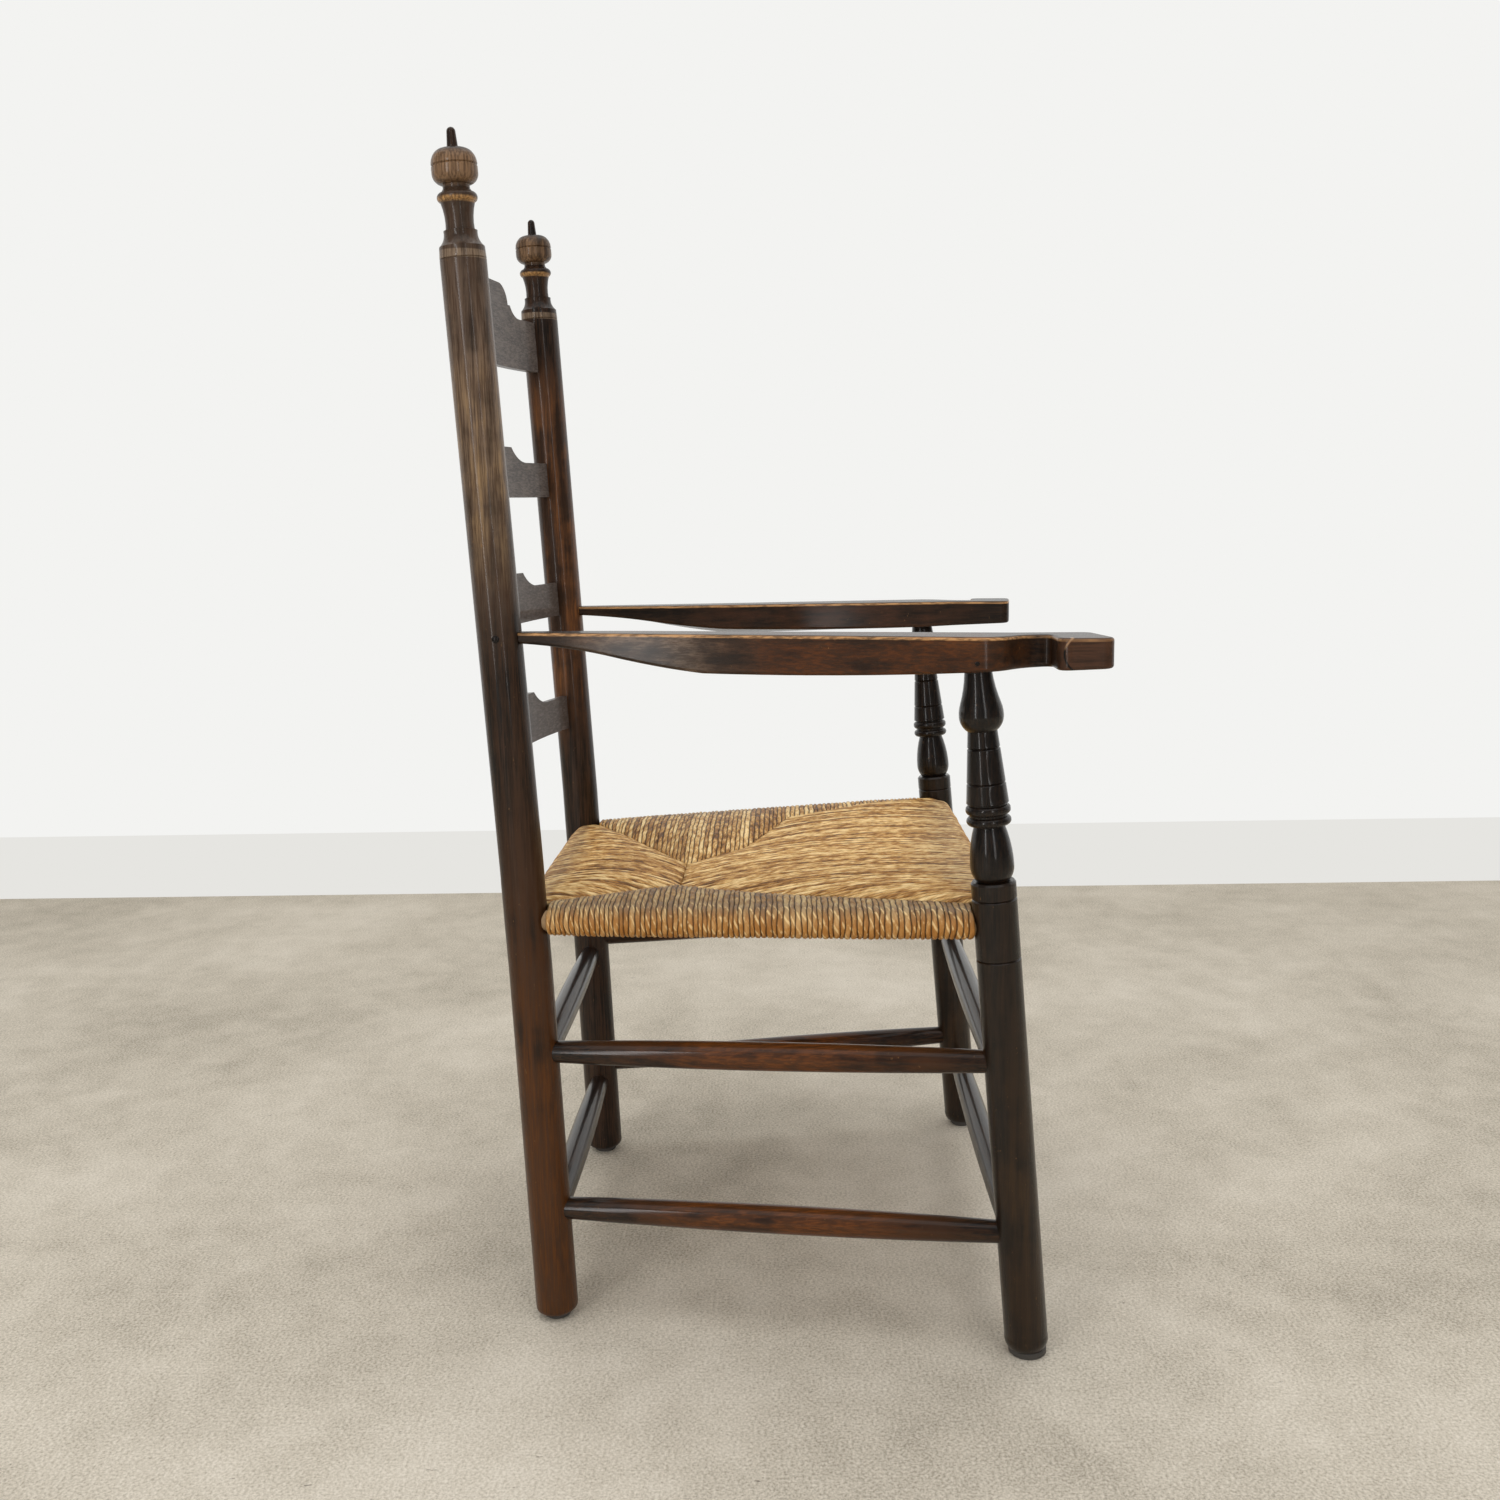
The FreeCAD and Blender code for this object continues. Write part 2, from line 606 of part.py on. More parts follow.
def arm():
    """An arm: its plan outline raised, cut to its side profile and rounded along its edges."""
    body = new_body("arm_left_blank")
    half_end = "arm_end_width / 2"
    flare_inner = f"({arm_axis_x(flare_end)} - arm_flare_inner)"
    flat_start = f"({arm_front[1]} - 36)"
    flare_run = f"({housing_face} - {flare_end})"
    flare_rise = f"({flare_inner} - {arm_back[0]} + {half_end})"
    turn = f"(atan(({hand_inner} - {flare_inner}) / ({flare_end} - {flat_start}))"
    turn += f" - atan({flare_rise} / {flare_run}))"
    inner_bend = f"sqrt({flare_run} ^ 2 + {flare_rise} ^ 2) / (2 * sin({turn}))"
    outer_y = f"({hand_front} + hand_corner)"
    inner_y = f"({outer_y} + ({hand_outer} - {hand_inner} - 2 * hand_corner) * tan(hand_slant))"
    slant_x, slant_y = "(hand_corner * (1 - sin(hand_slant)))", "(hand_corner * cos(hand_slant))"
    waist_x = f"({arm_front[0]} + arm_outer_offset - scoop_depth)"
    waist_y = f"({hand_back} + scoop_corner)"
    scoop_run = f"({arm_front[1]} - {waist_y})"
    scoop_bend = upright("scoop_depth / 2", f"{scoop_run} / 2")
    plan = [
        (f"{arm_back[0]} - {half_end}", housing_face, inner_bend),
        (flare_inner, flare_end),
        (hand_inner, flat_start),
        (hand_inner, inner_y, "hand_corner"),
        (f"{hand_inner} + {slant_x}", f"{inner_y} - {slant_y}"),
        (f"{hand_outer} - 2 * hand_corner + {slant_x}", f"{outer_y} - {slant_y}", "hand_corner"),
        (hand_outer, outer_y),
        (hand_outer, f"{hand_back} - hand_corner", "hand_corner"),
        (f"{hand_outer} - hand_corner", hand_back),
        (f"{waist_x} + scoop_corner", hand_back, "-1 * scoop_corner"),
        (waist_x, waist_y, f"-1 * {scoop_bend}"),
        (f"{waist_x} + scoop_depth / 2", f"{waist_y} + {scoop_run} / 2", scoop_bend),
        (outer_front, arm_front[1]),
        (f"{arm_back[0]} + {half_end}", housing_face),
    ]
    pad(body, "arm_plan", "XY_Plane", plan, f"{arm_top_back} + {OVERSHOOT}")
    over = [(ahead, arm_top(ahead)), (behind, arm_top(behind)),
            (behind, f"{arm_top_back} + 2 * {OVERSHOOT}"),
            (ahead, f"{arm_top_back} + 2 * {OVERSHOOT}")]
    pocket_through(body, "arm_top", "YZ_Plane", [over])
    inner_x = f"({arm_back[0]} - arm_flare_inner - {OVERSHOOT})"
    outer_x = f"({hand_outer} + {OVERSHOOT})"
    sides = []
    for name, plane_x in (("arm_under_inner", inner_x), ("arm_under_outer", outer_x)):
        side = draw(body, name, "YZ_Plane", [arm_under(plane_x)])
        side.setExpression(".AttachmentOffset.Base.z", formula(plane_x))
        sides.append(side)
    under = body.newObject("PartDesign::SubtractiveLoft", "arm_under")
    under.Profile = sides[0]
    under.Sections = [sides[1]]
    under.Ruled = True
    document.recompute()
    rounding = body.newObject("PartDesign::Fillet", "arm_edges")
    rounding.Base = (under, flat_edges(under.Shape, value_of(housing_face)))
    rounding.setExpression("Radius", formula("arm_rounding"))
    tongue = body.newObject("PartDesign::AdditiveBox", "arm_tongue")
    tongue.setExpression("Length", formula("arm_tongue_width"))
    tongue.setExpression("Width", formula("arm_tongue_depth - arm_housing / 2"))
    tongue.setExpression("Height", formula("arm_tongue_height"))
    place(tongue, (f"({arm_back[0]} - arm_tongue_width / 2)", f"({post_face} + arm_housing / 2)",
                   tongue_low))
    return body


arm_blank = arm()
peg_at = (arm_back[0], back_post_point(arm_end_middle)[1], arm_end_middle)
pin_x, pin_y, pin_z = front_post_point(f"({arm_under_front} + pin_rise)")
pin_at = (pin_x, f"({pin_y} + 3)", pin_z)


def sideways(point, reach):
    """A point moved to the left side of the chair by a reach."""
    return f"({point[0]} + ({reach}))", point[1], point[2]


peg_inner = sideways(peg_at, "-1 * arm_tongue_width / 2 - 1.5")
peg_outer = sideways(peg_at, f"{BACK_RADIUS}")
pin_inner = sideways(pin_at, "-1 * arm_tenon_diameter / 4")
pin_outer = sideways(pin_at, "arm_outer_offset - 0.6")
peg_hole = rod("peg_hole", "peg_diameter / 2 + fit_clearance", "60",
               sideways(peg_inner, "-1 * fit_clearance"), sideways(peg_inner, "60"))
pin_hole = rod("pin_hole", "pin_diameter / 2 + fit_clearance", "80",
               sideways(pin_inner, "-1 * fit_clearance"), sideways(pin_inner, "80"))
tenon_top = f"({arm_under_front} + arm_tenon_length)"
tenon_hole = rod("tenon_hole", "arm_tenon_diameter / 2 + fit_clearance", "arm_tenon_length + 30",
                 front_post_point(f"{tenon_top} + fit_clearance"),
                 front_post_point("front_upper_height"))
vase_housing = rod("vase_housing", "vase_top_diameter / 2 + fit_clearance", "30",
                   front_post_point(f"{arm_under_front} + 2 + fit_clearance"),
                   front_post_point("front_upper_height"))
keep_pair("arm", cut_away("arm_left", arm_blank, [peg_hole, pin_hole, tenon_hole, vase_housing]))

back_post_cuts.append(block(
    "tongue_slot",
    (f"({arm_back[0]} - arm_tongue_width / 2 - fit_clearance)", f"({post_face} - {OVERSHOOT})",
     f"({tongue_low} - fit_clearance)"),
    ("arm_tongue_width + 2 * fit_clearance", f"arm_tongue_depth + {OVERSHOOT} + fit_clearance",
     "arm_tongue_height + 2 * fit_clearance")))
back_post_cuts.append(block(
    "tongue_housing",
    (f"({arm_back[0]} - arm_end_width / 2 - 1)", f"({post_face} - {OVERSHOOT})",
     f"({arm_top_back} - arm_end_height - fit_clearance)"),
    ("arm_end_width + 2", f"arm_housing + {OVERSHOOT} + fit_clearance",
     "arm_end_height + 2 * fit_clearance")))
back_post_cuts.append(peg_hole)
front_post_cuts.append(pin_hole)


def pegs(name, diameter, inner, outer):
    """A round peg driven in from the outer side, with a softly domed head."""
    body = new_body(name + "_left")
    length = distance(inner, outer)
    revolve(body, name + "_turning", [
        ("0", "0"),
        (f"{diameter} / 2", "0"),
        (f"{diameter} / 2", length, f"{diameter}"),
        ("0", f"{length} + {diameter} * (1 - sqrt(3) / 2)"),
    ])
    place_along(body, inner, outer, inner)
    keep_pair(name, body)


pegs("arm_peg", "peg_diameter", peg_inner, peg_outer)
pegs("arm_pin", "pin_diameter", pin_inner, pin_outer)

# Posts


def floor_cut(name):
    """A block that levels the foot of a post at the top of its glide."""
    return block(name + "_floor", (f"-1 * {WIDE}", f"-1 * {WIDE}", f"glide_thickness - {WIDE}"),
                 (f"2 * {WIDE}", f"2 * {WIDE}", WIDE))


def nail_hole(name, foot):
    """The hole that the glide's nail makes up into the foot."""
    return rod(name + "_nail_hole", "nail_diameter / 2 + fit_clearance",
               "nail_length + fit_clearance", (foot[0], foot[1], "0"), (foot[0], foot[1], WIDE))


def back_post():
    """A back post: a bent shaft with a rounded foot and a turned finial."""
    body = new_body("back_post_left_blank")
    angle = "(atan(back_rake) - atan(back_lean))"
    tangent = f"(bend_radius * tan({angle} / 2))"
    lower = "(bend_height * sqrt(1 + back_lean ^ 2 + back_splay ^ 2) - glide_thickness + 2)"
    path = draw(body, "shaft_path", "YZ_Plane", [[
        ("0", "shaft_top"),
        ("0", tangent, "-1 * bend_radius"),
        (f"{tangent} * sin({angle})", f"-1 * {tangent} * cos({angle})"),
        (f"{lower} * sin({angle})", f"-1 * {lower} * cos({angle})"),
    ]], closed=False)
    circle = body.newObject("Sketcher::SketchObject", "shaft_section")
    circle.AttachmentSupport = [(origin_plane(body, "XY_Plane"), "")]
    circle.MapMode = "FlatFace"
    circle.setExpression(".AttachmentOffset.Base.z", formula("shaft_top"))
    ring = circle.addGeometry(Part.Circle(FreeCAD.Vector(0, 0, 0), FreeCAD.Vector(0, 0, 1),
                                          value_of(BACK_RADIUS)))
    circle.addConstraint(Sketcher.Constraint("Coincident", ring, 3, -1, 1))
    held = circle.addConstraint(Sketcher.Constraint("Radius", ring, value_of(BACK_RADIUS)))
    circle.setExpression(f".Constraints[{held}]", formula(BACK_RADIUS))
    shaft = body.newObject("PartDesign::AdditivePipe", "shaft")
    shaft.Profile = circle
    shaft.Spine = path
    document.recompute()
    foot_edge = min(range(len(shaft.Shape.Edges)),
                    key=lambda index: shaft.Shape.Edges[index].BoundBox.Center.z)
    rounding = body.newObject("PartDesign::Fillet", "foot_fillet")
    rounding.Base = (shaft, [f"Edge{foot_edge + 1}"])
    rounding.setExpression("Radius", formula("foot_rounding"))
    finial(body)
    x, y, z = back_post_point("bend_height")
    place(body, (x, y, z), ("-1 * back_rake", "back_splay", "0"),
          "acos(1 / sqrt(1 + back_rake ^ 2 + back_splay ^ 2))")
    foot = back_post_point("0")
    cuts = back_post_cuts + [floor_cut("back_post"), nail_hole("back_post", foot)]
    return cut_away("back_post_left", body, cuts)


def finial(body):
    """The turned top of a back post, from the groove at the top of its shaft to the button."""
    ball = "finial_ball_diameter / 2"
    column = "finial_column_diameter / 2"
    neck = "finial_neck_diameter / 2"
    collar = "finial_collar_diameter / 2"
    button = "finial_button_diameter / 2"
    drum_top = "(shaft_top + drum_height)"
    column_foot = f"({drum_top} + 14.5)"
    collar_foot = f"({column_foot} + 25.5)"
    collar_middle = f"({collar_foot} + 4)"
    neck_foot = f"({collar_middle} + 8)"
    ball_foot = f"({neck_foot} + 3.5)"
    ball_widest = f"({ball_foot} + 10)"
    ball_groove = f"({ball_foot} + 17)"
    ball_shoulder = f"({ball_groove} + 9)"
    ball_top = f"({ball_groove} + 15)"
    button_top = f"({ball_top} + finial_button_length)"
    cap = "3.6"
    revolve(body, "finial", [
        ("0", "shaft_top - 5"),
        (f"{BACK_RADIUS} - groove_depth", "shaft_top - 5"),
        (f"{BACK_RADIUS} - groove_depth", "shaft_top"),
        (BACK_RADIUS, "shaft_top + groove_width / 2"),
        (f"{BACK_RADIUS} - 0.6", drum_top, "-16"),
        (f"{column} + 2.3", column_foot),
        (column, f"{column_foot} + 0.6", "-60"),
        (f"{column} + 2.5", collar_foot, upright(f"{collar} - {column} - 2.5", "4")),
        (collar, collar_middle, upright(f"{collar} - {neck} - 2", "5")),
        (f"{neck} + 2", f"{collar_middle} + 5"),
        (neck, neck_foot),
        (neck, ball_foot, upright(f"{ball} - {neck}", "10")),
        (ball, ball_widest),
        (ball, f"{ball_groove} - groove_width / 2"),
        (f"{ball} - groove_depth", ball_groove),
        (ball, f"{ball_groove} + groove_width / 2", upright("2", "9 - groove_width / 2")),
        (f"{ball} - 2", ball_shoulder, "11.5"),
        (f"{button} + 1.2", ball_top),
        (button, f"{ball_top} + 1.2"),
        (f"{button} - 1.1", f"{button_top} - {cap}", upright(cap, f"{button} - 1.1")),
        ("0", button_top),
    ])


def front_post():
    """A front post: a plain leg below the seat and a turned vase, cone and beads above it."""
    body = new_body("front_post_left_blank")
    leg = FRONT_RADIUS
    bulge = "bulge_diameter / 2"
    bead = "bead_diameter / 2"
    neck = "bead_neck_diameter / 2"
    stand = "sqrt(1 + front_lean ^ 2 + front_splay ^ 2)"
    arm_face = f"(({arm_under_front} + 2) * {stand})"
    tenon_end = f"({tenon_top} * {stand})"
    parts = "(bulge_height + beads_height + cone_height + vase_height + vase_collar)"
    share = f"(({arm_under_front} * {stand} - shoulder_height) / {parts})"

    def rise(length):
        """The length of a part of the turning, drawn out to fill the height below the arm."""
        return f"(({length}) * {share})"

    def cone_radius(above):
        """The radius of the cone at a height above its foot."""
        slope = f"((cone_base_diameter - cone_top_diameter) / 2 / {rise('cone_height')})"
        return f"(cone_base_diameter / 2 - {slope} * ({above}))"

    bulge_widest = f"(shoulder_height + {rise('bulge_height * 0.276')})"
    bulge_top = f"(shoulder_height + {rise('bulge_height')})"
    bead_low = f"({bulge_top} + {rise('beads_height / 15')})"
    bead_notch = f"({bead_low} + {rise('beads_height * 0.356')})"
    bead_high = f"({bead_notch} + {rise('beads_height * 0.089')})"
    bead_top = f"({bead_high} + {rise('beads_height * 0.4')})"
    cone_foot = f"({bulge_top} + {rise('beads_height')})"
    cone_top = f"({cone_foot} + {rise('cone_height')})"
    vase_widest = f"({cone_top} + {rise('vase_height * 0.257')})"
    vase_waist = f"({cone_top} + {rise('vase_height * 0.468')})"
    vase_top = f"({cone_top} + {rise('vase_height')})"
    half_bead = rise("beads_height * 0.178")
    bead_bend = upright("3.4", half_bead)
    low_groove, high_groove = "(shoulder_height - 75.5)", "(shoulder_height - 17)"
    cone_grooves = (rise("cone_height * 0.274"), rise("cone_height * 0.763"))
    corners = [
        ("0", "0"),
        ("front_foot_diameter / 2", "0"),
        ("front_foot_diameter / 2", "glide_thickness", "16"),
        (leg, "glide_thickness + 13"),
    ]
    corners += groove(leg, low_groove)
    corners += groove(leg, high_groove)
    corners += [
        (leg, "shoulder_height - 2"),
        (f"{leg} - 1.6", "shoulder_height"),
        (f"{bulge} - 5.4", "shoulder_height", upright("5.4", rise("bulge_height * 0.276"))),
        (bulge, bulge_widest, upright(f"{bulge} - {neck}", rise("bulge_height * 0.724"))),
        (neck, bulge_top),
        (neck, bead_low, upright(f"{bead} - {neck}", half_bead)),
        (bead, f"{bead_low} + {half_bead}", bead_bend),
        (f"{bead} - 3.4", bead_notch),
        (f"{bead} - 3.4", bead_high, bead_bend),
        (bead, f"({bead_high} + {bead_top}) / 2", bead_bend),
        (f"{bead} - 3.4", bead_top),
        (f"{bead} - 3.4", f"{cone_foot} - 1"),
        ("cone_base_diameter / 2", cone_foot),
    ]
    for above in cone_grooves:
        half = "groove_width / 2"
        corners += [
            (cone_radius(f"{above} - {half}"), f"{cone_foot} + {above} - {half}"),
            (f"{cone_radius(above)} - groove_depth", f"{cone_foot} + {above}"),
            (cone_radius(f"{above} + {half}"), f"{cone_foot} + {above} + {half}"),
        ]
    vase_swell = "(vase_diameter - cone_top_diameter) / 2"
    corners += [
        ("cone_top_diameter / 2", cone_top, upright(vase_swell, rise("vase_height * 0.257"))),
        ("vase_diameter / 2", vase_widest, upright("1.9", rise("vase_height * 0.211"))),
        ("vase_diameter / 2 - 1.9", vase_waist, "-130"),
        ("vase_top_diameter / 2", vase_top),
        ("vase_top_diameter / 2", arm_face),
        ("arm_tenon_diameter / 2", arm_face),
        ("arm_tenon_diameter / 2", tenon_end),
        ("0", tenon_end),
    ]
    revolve(body, "leg_turning", corners)
    place(body, ("front_foot_x", "front_foot_y", "0"), ("-1 * front_lean", "front_splay", "0"),
          f"acos(1 / {stand})")
    foot = front_post_point("0")
    cuts = front_post_cuts + [floor_cut("front_post"), nail_hole("front_post", foot)]
    return cut_away("front_post_left", body, cuts)


keep_pair("back_post", back_post())
keep_pair("front_post", front_post())

# Foot glides and their nails


def glide(name, foot, diameter):
    """A glide under a foot, with its nail sunk from below."""
    body = new_body(name)
    recess = "(nail_head_diameter / 2 + 0.5)"
    revolve(body, name + "_turning", [
        ("nail_diameter / 2 + fit_clearance", "3"),
        (recess, "3"),
        (recess, "0"),
        (f"{diameter} / 2 - 1.5", "0"),
        (f"{diameter} / 2", "1.5"),
        (f"{diameter} / 2", "glide_thickness - 1"),
        (f"{diameter} / 2 - 1", "glide_thickness"),
        ("nail_diameter / 2 + fit_clearance", "glide_thickness"),
    ])
    place(body, (foot[0], foot[1], "0"))
    subparts[name] = body
    nail = new_body(name + "_nail")
    revolve(nail, name + "_nail_turning", [
        ("0", "1.6"),
        ("nail_head_diameter / 2", "1.6"),
        ("nail_head_diameter / 2", "3"),
        ("nail_diameter / 2", "3"),
        ("nail_diameter / 2", "nail_length - 4"),
        ("0", "nail_length"),
    ])
    place(nail, (foot[0], foot[1], "0"))
    return nail


nails = []
for place_name, foot in (("front_left", front_post_point("0")), ("back_left", back_post_point("0"))):
    other_side = place_name.replace("left", "right")
    nails.append(glide(f"glide_{place_name}", foot, f"{place_name}_glide_diameter"))
    nails.append(glide(f"glide_{other_side}", across(foot), f"{other_side}_glide_diameter"))
nail_group = document.addObject("Part::Compound", "glide_nails")
nail_group.Label = "glide_nails"
nail_group.Links = nails
subparts["glide_nails"] = nail_group

# Rush seat: four wound panels, each lofted along its rail, joined and fitted round posts and rails


def rush_section(plane, inner, roll, crown, valley, sag):
    """The closed section of a panel, square to its rail.

    The plane turns (distance inward from the rail, height over the rail) into a point. The
    section rolls round the rail, rises to its crown, falls to the valley and sags underneath.
    """
    points = {
        "under": (0, -roll), "nose_low": (-roll * 0.7071, -roll * 0.7071), "nose": (-roll, 0),
        "nose_high": (-roll * 0.7071, roll * 0.7071), "top": (0, roll),
        "crown": (inner * 0.42, roll + crown), "valley": (inner, valley),
        "keel": (inner, -roll * 0.8), "belly": (inner * 0.45, -roll - sag),
    }
    at = {name: plane(*point) for name, point in points.items()}
    edges = [
        Part.Arc(at["under"], at["nose_low"], at["nose"]).toShape(),
        Part.Arc(at["nose"], at["nose_high"], at["top"]).toShape(),
        Part.Arc(at["top"], at["crown"], at["valley"]).toShape(),
        Part.LineSegment(at["valley"], at["keel"]).toShape(),
        Part.Arc(at["keel"], at["belly"], at["under"]).toShape(),
    ]
    return Part.Wire(edges)


def rush_form():
    """The outer form of the woven seat, before posts and rails are taken out of it."""
    roll = value_of("rail_diameter / 2 + rush_thickness")
    corner = value_of("rush_corner")
    crown, sag = value_of("rush_crown"), value_of("rush_sag")
    low = roll - value_of("rush_valley_drop")
    edge = roll * 0.93
    seams = {1: value_of("rush_seam_left"), -1: value_of("rush_seam_right")}
    bend_x, bend_depth = value_of("rush_bend_x"), value_of("rush_bend_setback")
    back = vector_of(back_post_point("side_rail_back"))
    front = vector_of(front_post_point("side_rail_front"))
    inset = value_of("back_rail_inset")
    depth = back.y - front.y
    rise = (front.z - back.z) / depth
    seam_depth = value_of("rush_seam_setback")

    def level(forward):
        return back.z + rise * forward

    def half_width(forward):
        return back.x + (front.x - back.x) * forward / depth

    def back_plane(x):
        return lambda inner, up: FreeCAD.Vector(x, back.y - inset - inner, level(max(inner, 0)) + up)

    def front_plane(x):
        return lambda inner, up: FreeCAD.Vector(x, front.y + inner, level(depth - max(inner, 0)) + up)

    def side_plane(side, forward):
        return lambda inner, up: FreeCAD.Vector(
            side * (half_width(forward) - inner), back.y - forward, level(forward) + up)

    def panel(sections):
        return Part.makeLoft(sections, True, True)

    def shallow(plane, inner, thickness=roll):
        return rush_section(plane, inner, thickness, 0.2, edge * thickness / roll, 0.2)

    back_end, front_end = half_width(corner) - corner, half_width(depth - corner) - corner
    back_length, front_length = seam_depth - inset, depth - seam_depth
    slim = roll * 0.8
    panels = [
        panel([
            shallow(back_plane(-back_end), corner, slim),
            rush_section(back_plane(-seams[-1]), back_length, roll, crown, low, sag / 2),
            rush_section(back_plane(seams[1]), back_length, roll, crown, low, sag / 2),
            shallow(back_plane(back_end), corner, slim),
        ]),
        panel([
            shallow(front_plane(-front_end), corner),
            rush_section(front_plane(-seams[-1]), front_length, roll, crown, low, sag),
            rush_section(front_plane(seams[1]), front_length, roll, crown, low, sag),
            rush_section(front_plane(bend_x), depth - bend_depth, roll, crown / 2, edge, sag / 2),
            shallow(front_plane(front_end), corner),
        ]),
        panel([
            shallow(side_plane(-1, corner), corner),
            rush_section(side_plane(-1, seam_depth), half_width(seam_depth) - seams[-1], roll,
                         crown, low, sag / 2),
            shallow(side_plane(-1, depth - corner), corner),
        ]),
        panel([
            shallow(side_plane(1, corner), corner),
            rush_section(side_plane(1, seam_depth), half_width(seam_depth) - seams[1], roll,
                         crown, low, sag / 2),
            rush_section(side_plane(1, bend_depth), half_width(bend_depth) - bend_x, roll,
                         crown / 2, edge, sag / 4),
            shallow(side_plane(1, depth - corner), corner),
        ]),
    ]
    form = panels[0].multiFuse(panels[1:]).removeSplitter()
    piece = document.addObject("Part::Feature", "rush_form")
    piece.Shape = form
    return piece


def rush_seat():
    """The woven seat, notched round the four posts and hollow where the rails run."""
    cuts = []
    gap = "rush_clearance"
    for side, mirrored in (("left", False), ("right", True)):
        for name, point, radius in (("back", back_post_point, BACK_RADIUS),
                                    ("front", front_post_point, FRONT_RADIUS)):
            start = point("side_rail_back - front_post_diameter * 2")
            end = point("side_rail_front + front_post_diameter * 2")
            if mirrored:
                start, end = across(start), across(end)
            cuts.append(rod(f"rush_{name}_{side}_notch", f"{radius} + {gap}",
                            distance(start, end), start, end))
        start, end = back_post_point("side_rail_back"), front_post_point("side_rail_front")
        if mirrored:
            start, end = across(start), across(end)
        cuts.append(rod(f"rush_side_{side}_bore", f"rail_diameter / 2 + 0.5 + {gap}",
                        distance(start, end), start, end))
    for name, end in (("back", back_rail_end), ("front", front_post_point("front_rail_height"))):
        start = across(end)
        cuts.append(rod(f"rush_{name}_bore", f"rail_diameter / 2 + 0.5 + {gap}",
                        distance(start, end), start, end))
    return cut_away("rush_seat", rush_form(), cuts)


subparts["rush_seat"] = rush_seat()

document.recompute()
for thing in document.Objects:
    if "Invalid" in thing.State or "Error" in thing.State:
        raise RuntimeError(f"{thing.Name} failed: {thing.State}")
for label, piece in subparts.items():
    if piece.Shape.isNull() or not piece.Shape.isValid():
        raise RuntimeError(f"{label} has no valid shape")

os.makedirs("parts", exist_ok=True)
for label, piece in subparts.items():
    piece.Shape.exportStep(f"parts/{label}.step")
box = Part.makeCompound([piece.Shape for piece in subparts.values()]).BoundBox
print(len(subparts), "pieces, box", box)
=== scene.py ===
"""The looks of a ladderback armchair with a woven rush seat, in metres, in the frame of its solids.

The front of the chair faces -Y, the sitter's left hand is at +X, and the camera looks at the
right-hand side. The turned and shaped wood keeps the solids' own surfaces and gets its finish
here. The seat is wound anew, strand by strand, over the same rails.
"""
import logging
import math
from collections.abc import Mapping, Sequence
from dataclasses import dataclass, field
from enum import Enum

import bmesh
import bpy
import numpy as np
from mathutils import Matrix


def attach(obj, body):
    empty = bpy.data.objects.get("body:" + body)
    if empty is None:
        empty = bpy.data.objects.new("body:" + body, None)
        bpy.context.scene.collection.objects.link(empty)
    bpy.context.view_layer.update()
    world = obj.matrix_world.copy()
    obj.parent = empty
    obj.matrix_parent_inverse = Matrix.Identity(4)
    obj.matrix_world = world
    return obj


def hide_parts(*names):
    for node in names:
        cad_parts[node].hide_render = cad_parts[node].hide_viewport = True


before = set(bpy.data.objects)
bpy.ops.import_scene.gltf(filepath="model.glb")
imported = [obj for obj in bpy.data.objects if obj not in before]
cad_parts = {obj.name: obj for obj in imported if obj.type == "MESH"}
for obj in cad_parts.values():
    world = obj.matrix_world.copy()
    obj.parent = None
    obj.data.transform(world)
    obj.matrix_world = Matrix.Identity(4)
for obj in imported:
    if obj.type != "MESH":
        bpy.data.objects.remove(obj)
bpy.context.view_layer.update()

Point = tuple[float, float, float]
Colour = tuple[float, float, float, float]
TINY = 1e-9
SAME_PLACE = 1e-7
log = logging.getLogger("armchair")


class Value:
    """A socket that adds its own Math nodes where it is used in an expression."""

    def __init__(self, nodes: "Nodes", socket: bpy.types.NodeSocket) -> None:
        """Wrap one output socket of a tree."""
        self.nodes = nodes
        self.socket = socket

    def beside(self, output: str | int) -> "Value":
        """Another output of the same node."""
        return Value(self.nodes, self.socket.node.outputs[output])

    def maths(self, operation: str, *others: "Value | float", clamp: bool = False) -> "Value":
        """Add one Math node whose first input is this value."""
        settings = {"operation": operation, "use_clamp": clamp}
        return self.nodes.add("ShaderNodeMath", settings, dict(enumerate((self, *others))))

    def __add__(self, other: "Value | float") -> "Value":
        """The sum."""
        return self.maths("ADD", other)

    __radd__ = __add__

    def __mul__(self, other: "Value | float") -> "Value":
        """The product."""
        return self.maths("MULTIPLY", other)

    __rmul__ = __mul__

    def __sub__(self, other: "Value | float") -> "Value":
        """The difference."""
        return self.maths("SUBTRACT", other)

    def __rsub__(self, other: float) -> "Value":
        """A number less this value."""
        return self.nodes.add("ShaderNodeMath", {"operation": "SUBTRACT"}, {0: other, 1: self})

    def __truediv__(self, other: "Value | float") -> "Value":
        """The quotient."""
        return self.maths("DIVIDE", other)

    def __pow__(self, other: float) -> "Value":
        """The power."""
        return self.maths("POWER", other)

    def fraction(self) -> "Value":
        """What is left after the whole number."""
        return self.maths("FRACT")

    def above(self, edge: float, blur: float) -> "Value":
        """A soft step from 0 to 1 round an edge: the clamped rise over the width of the blur."""
        return ((self - (edge - blur / 2)) / blur).maths("ADD", 0.0, clamp=True)

    def below(self, edge: float, blur: float) -> "Value":
        """A soft step from 1 to 0 round an edge."""
        return 1.0 - self.above(edge, blur)


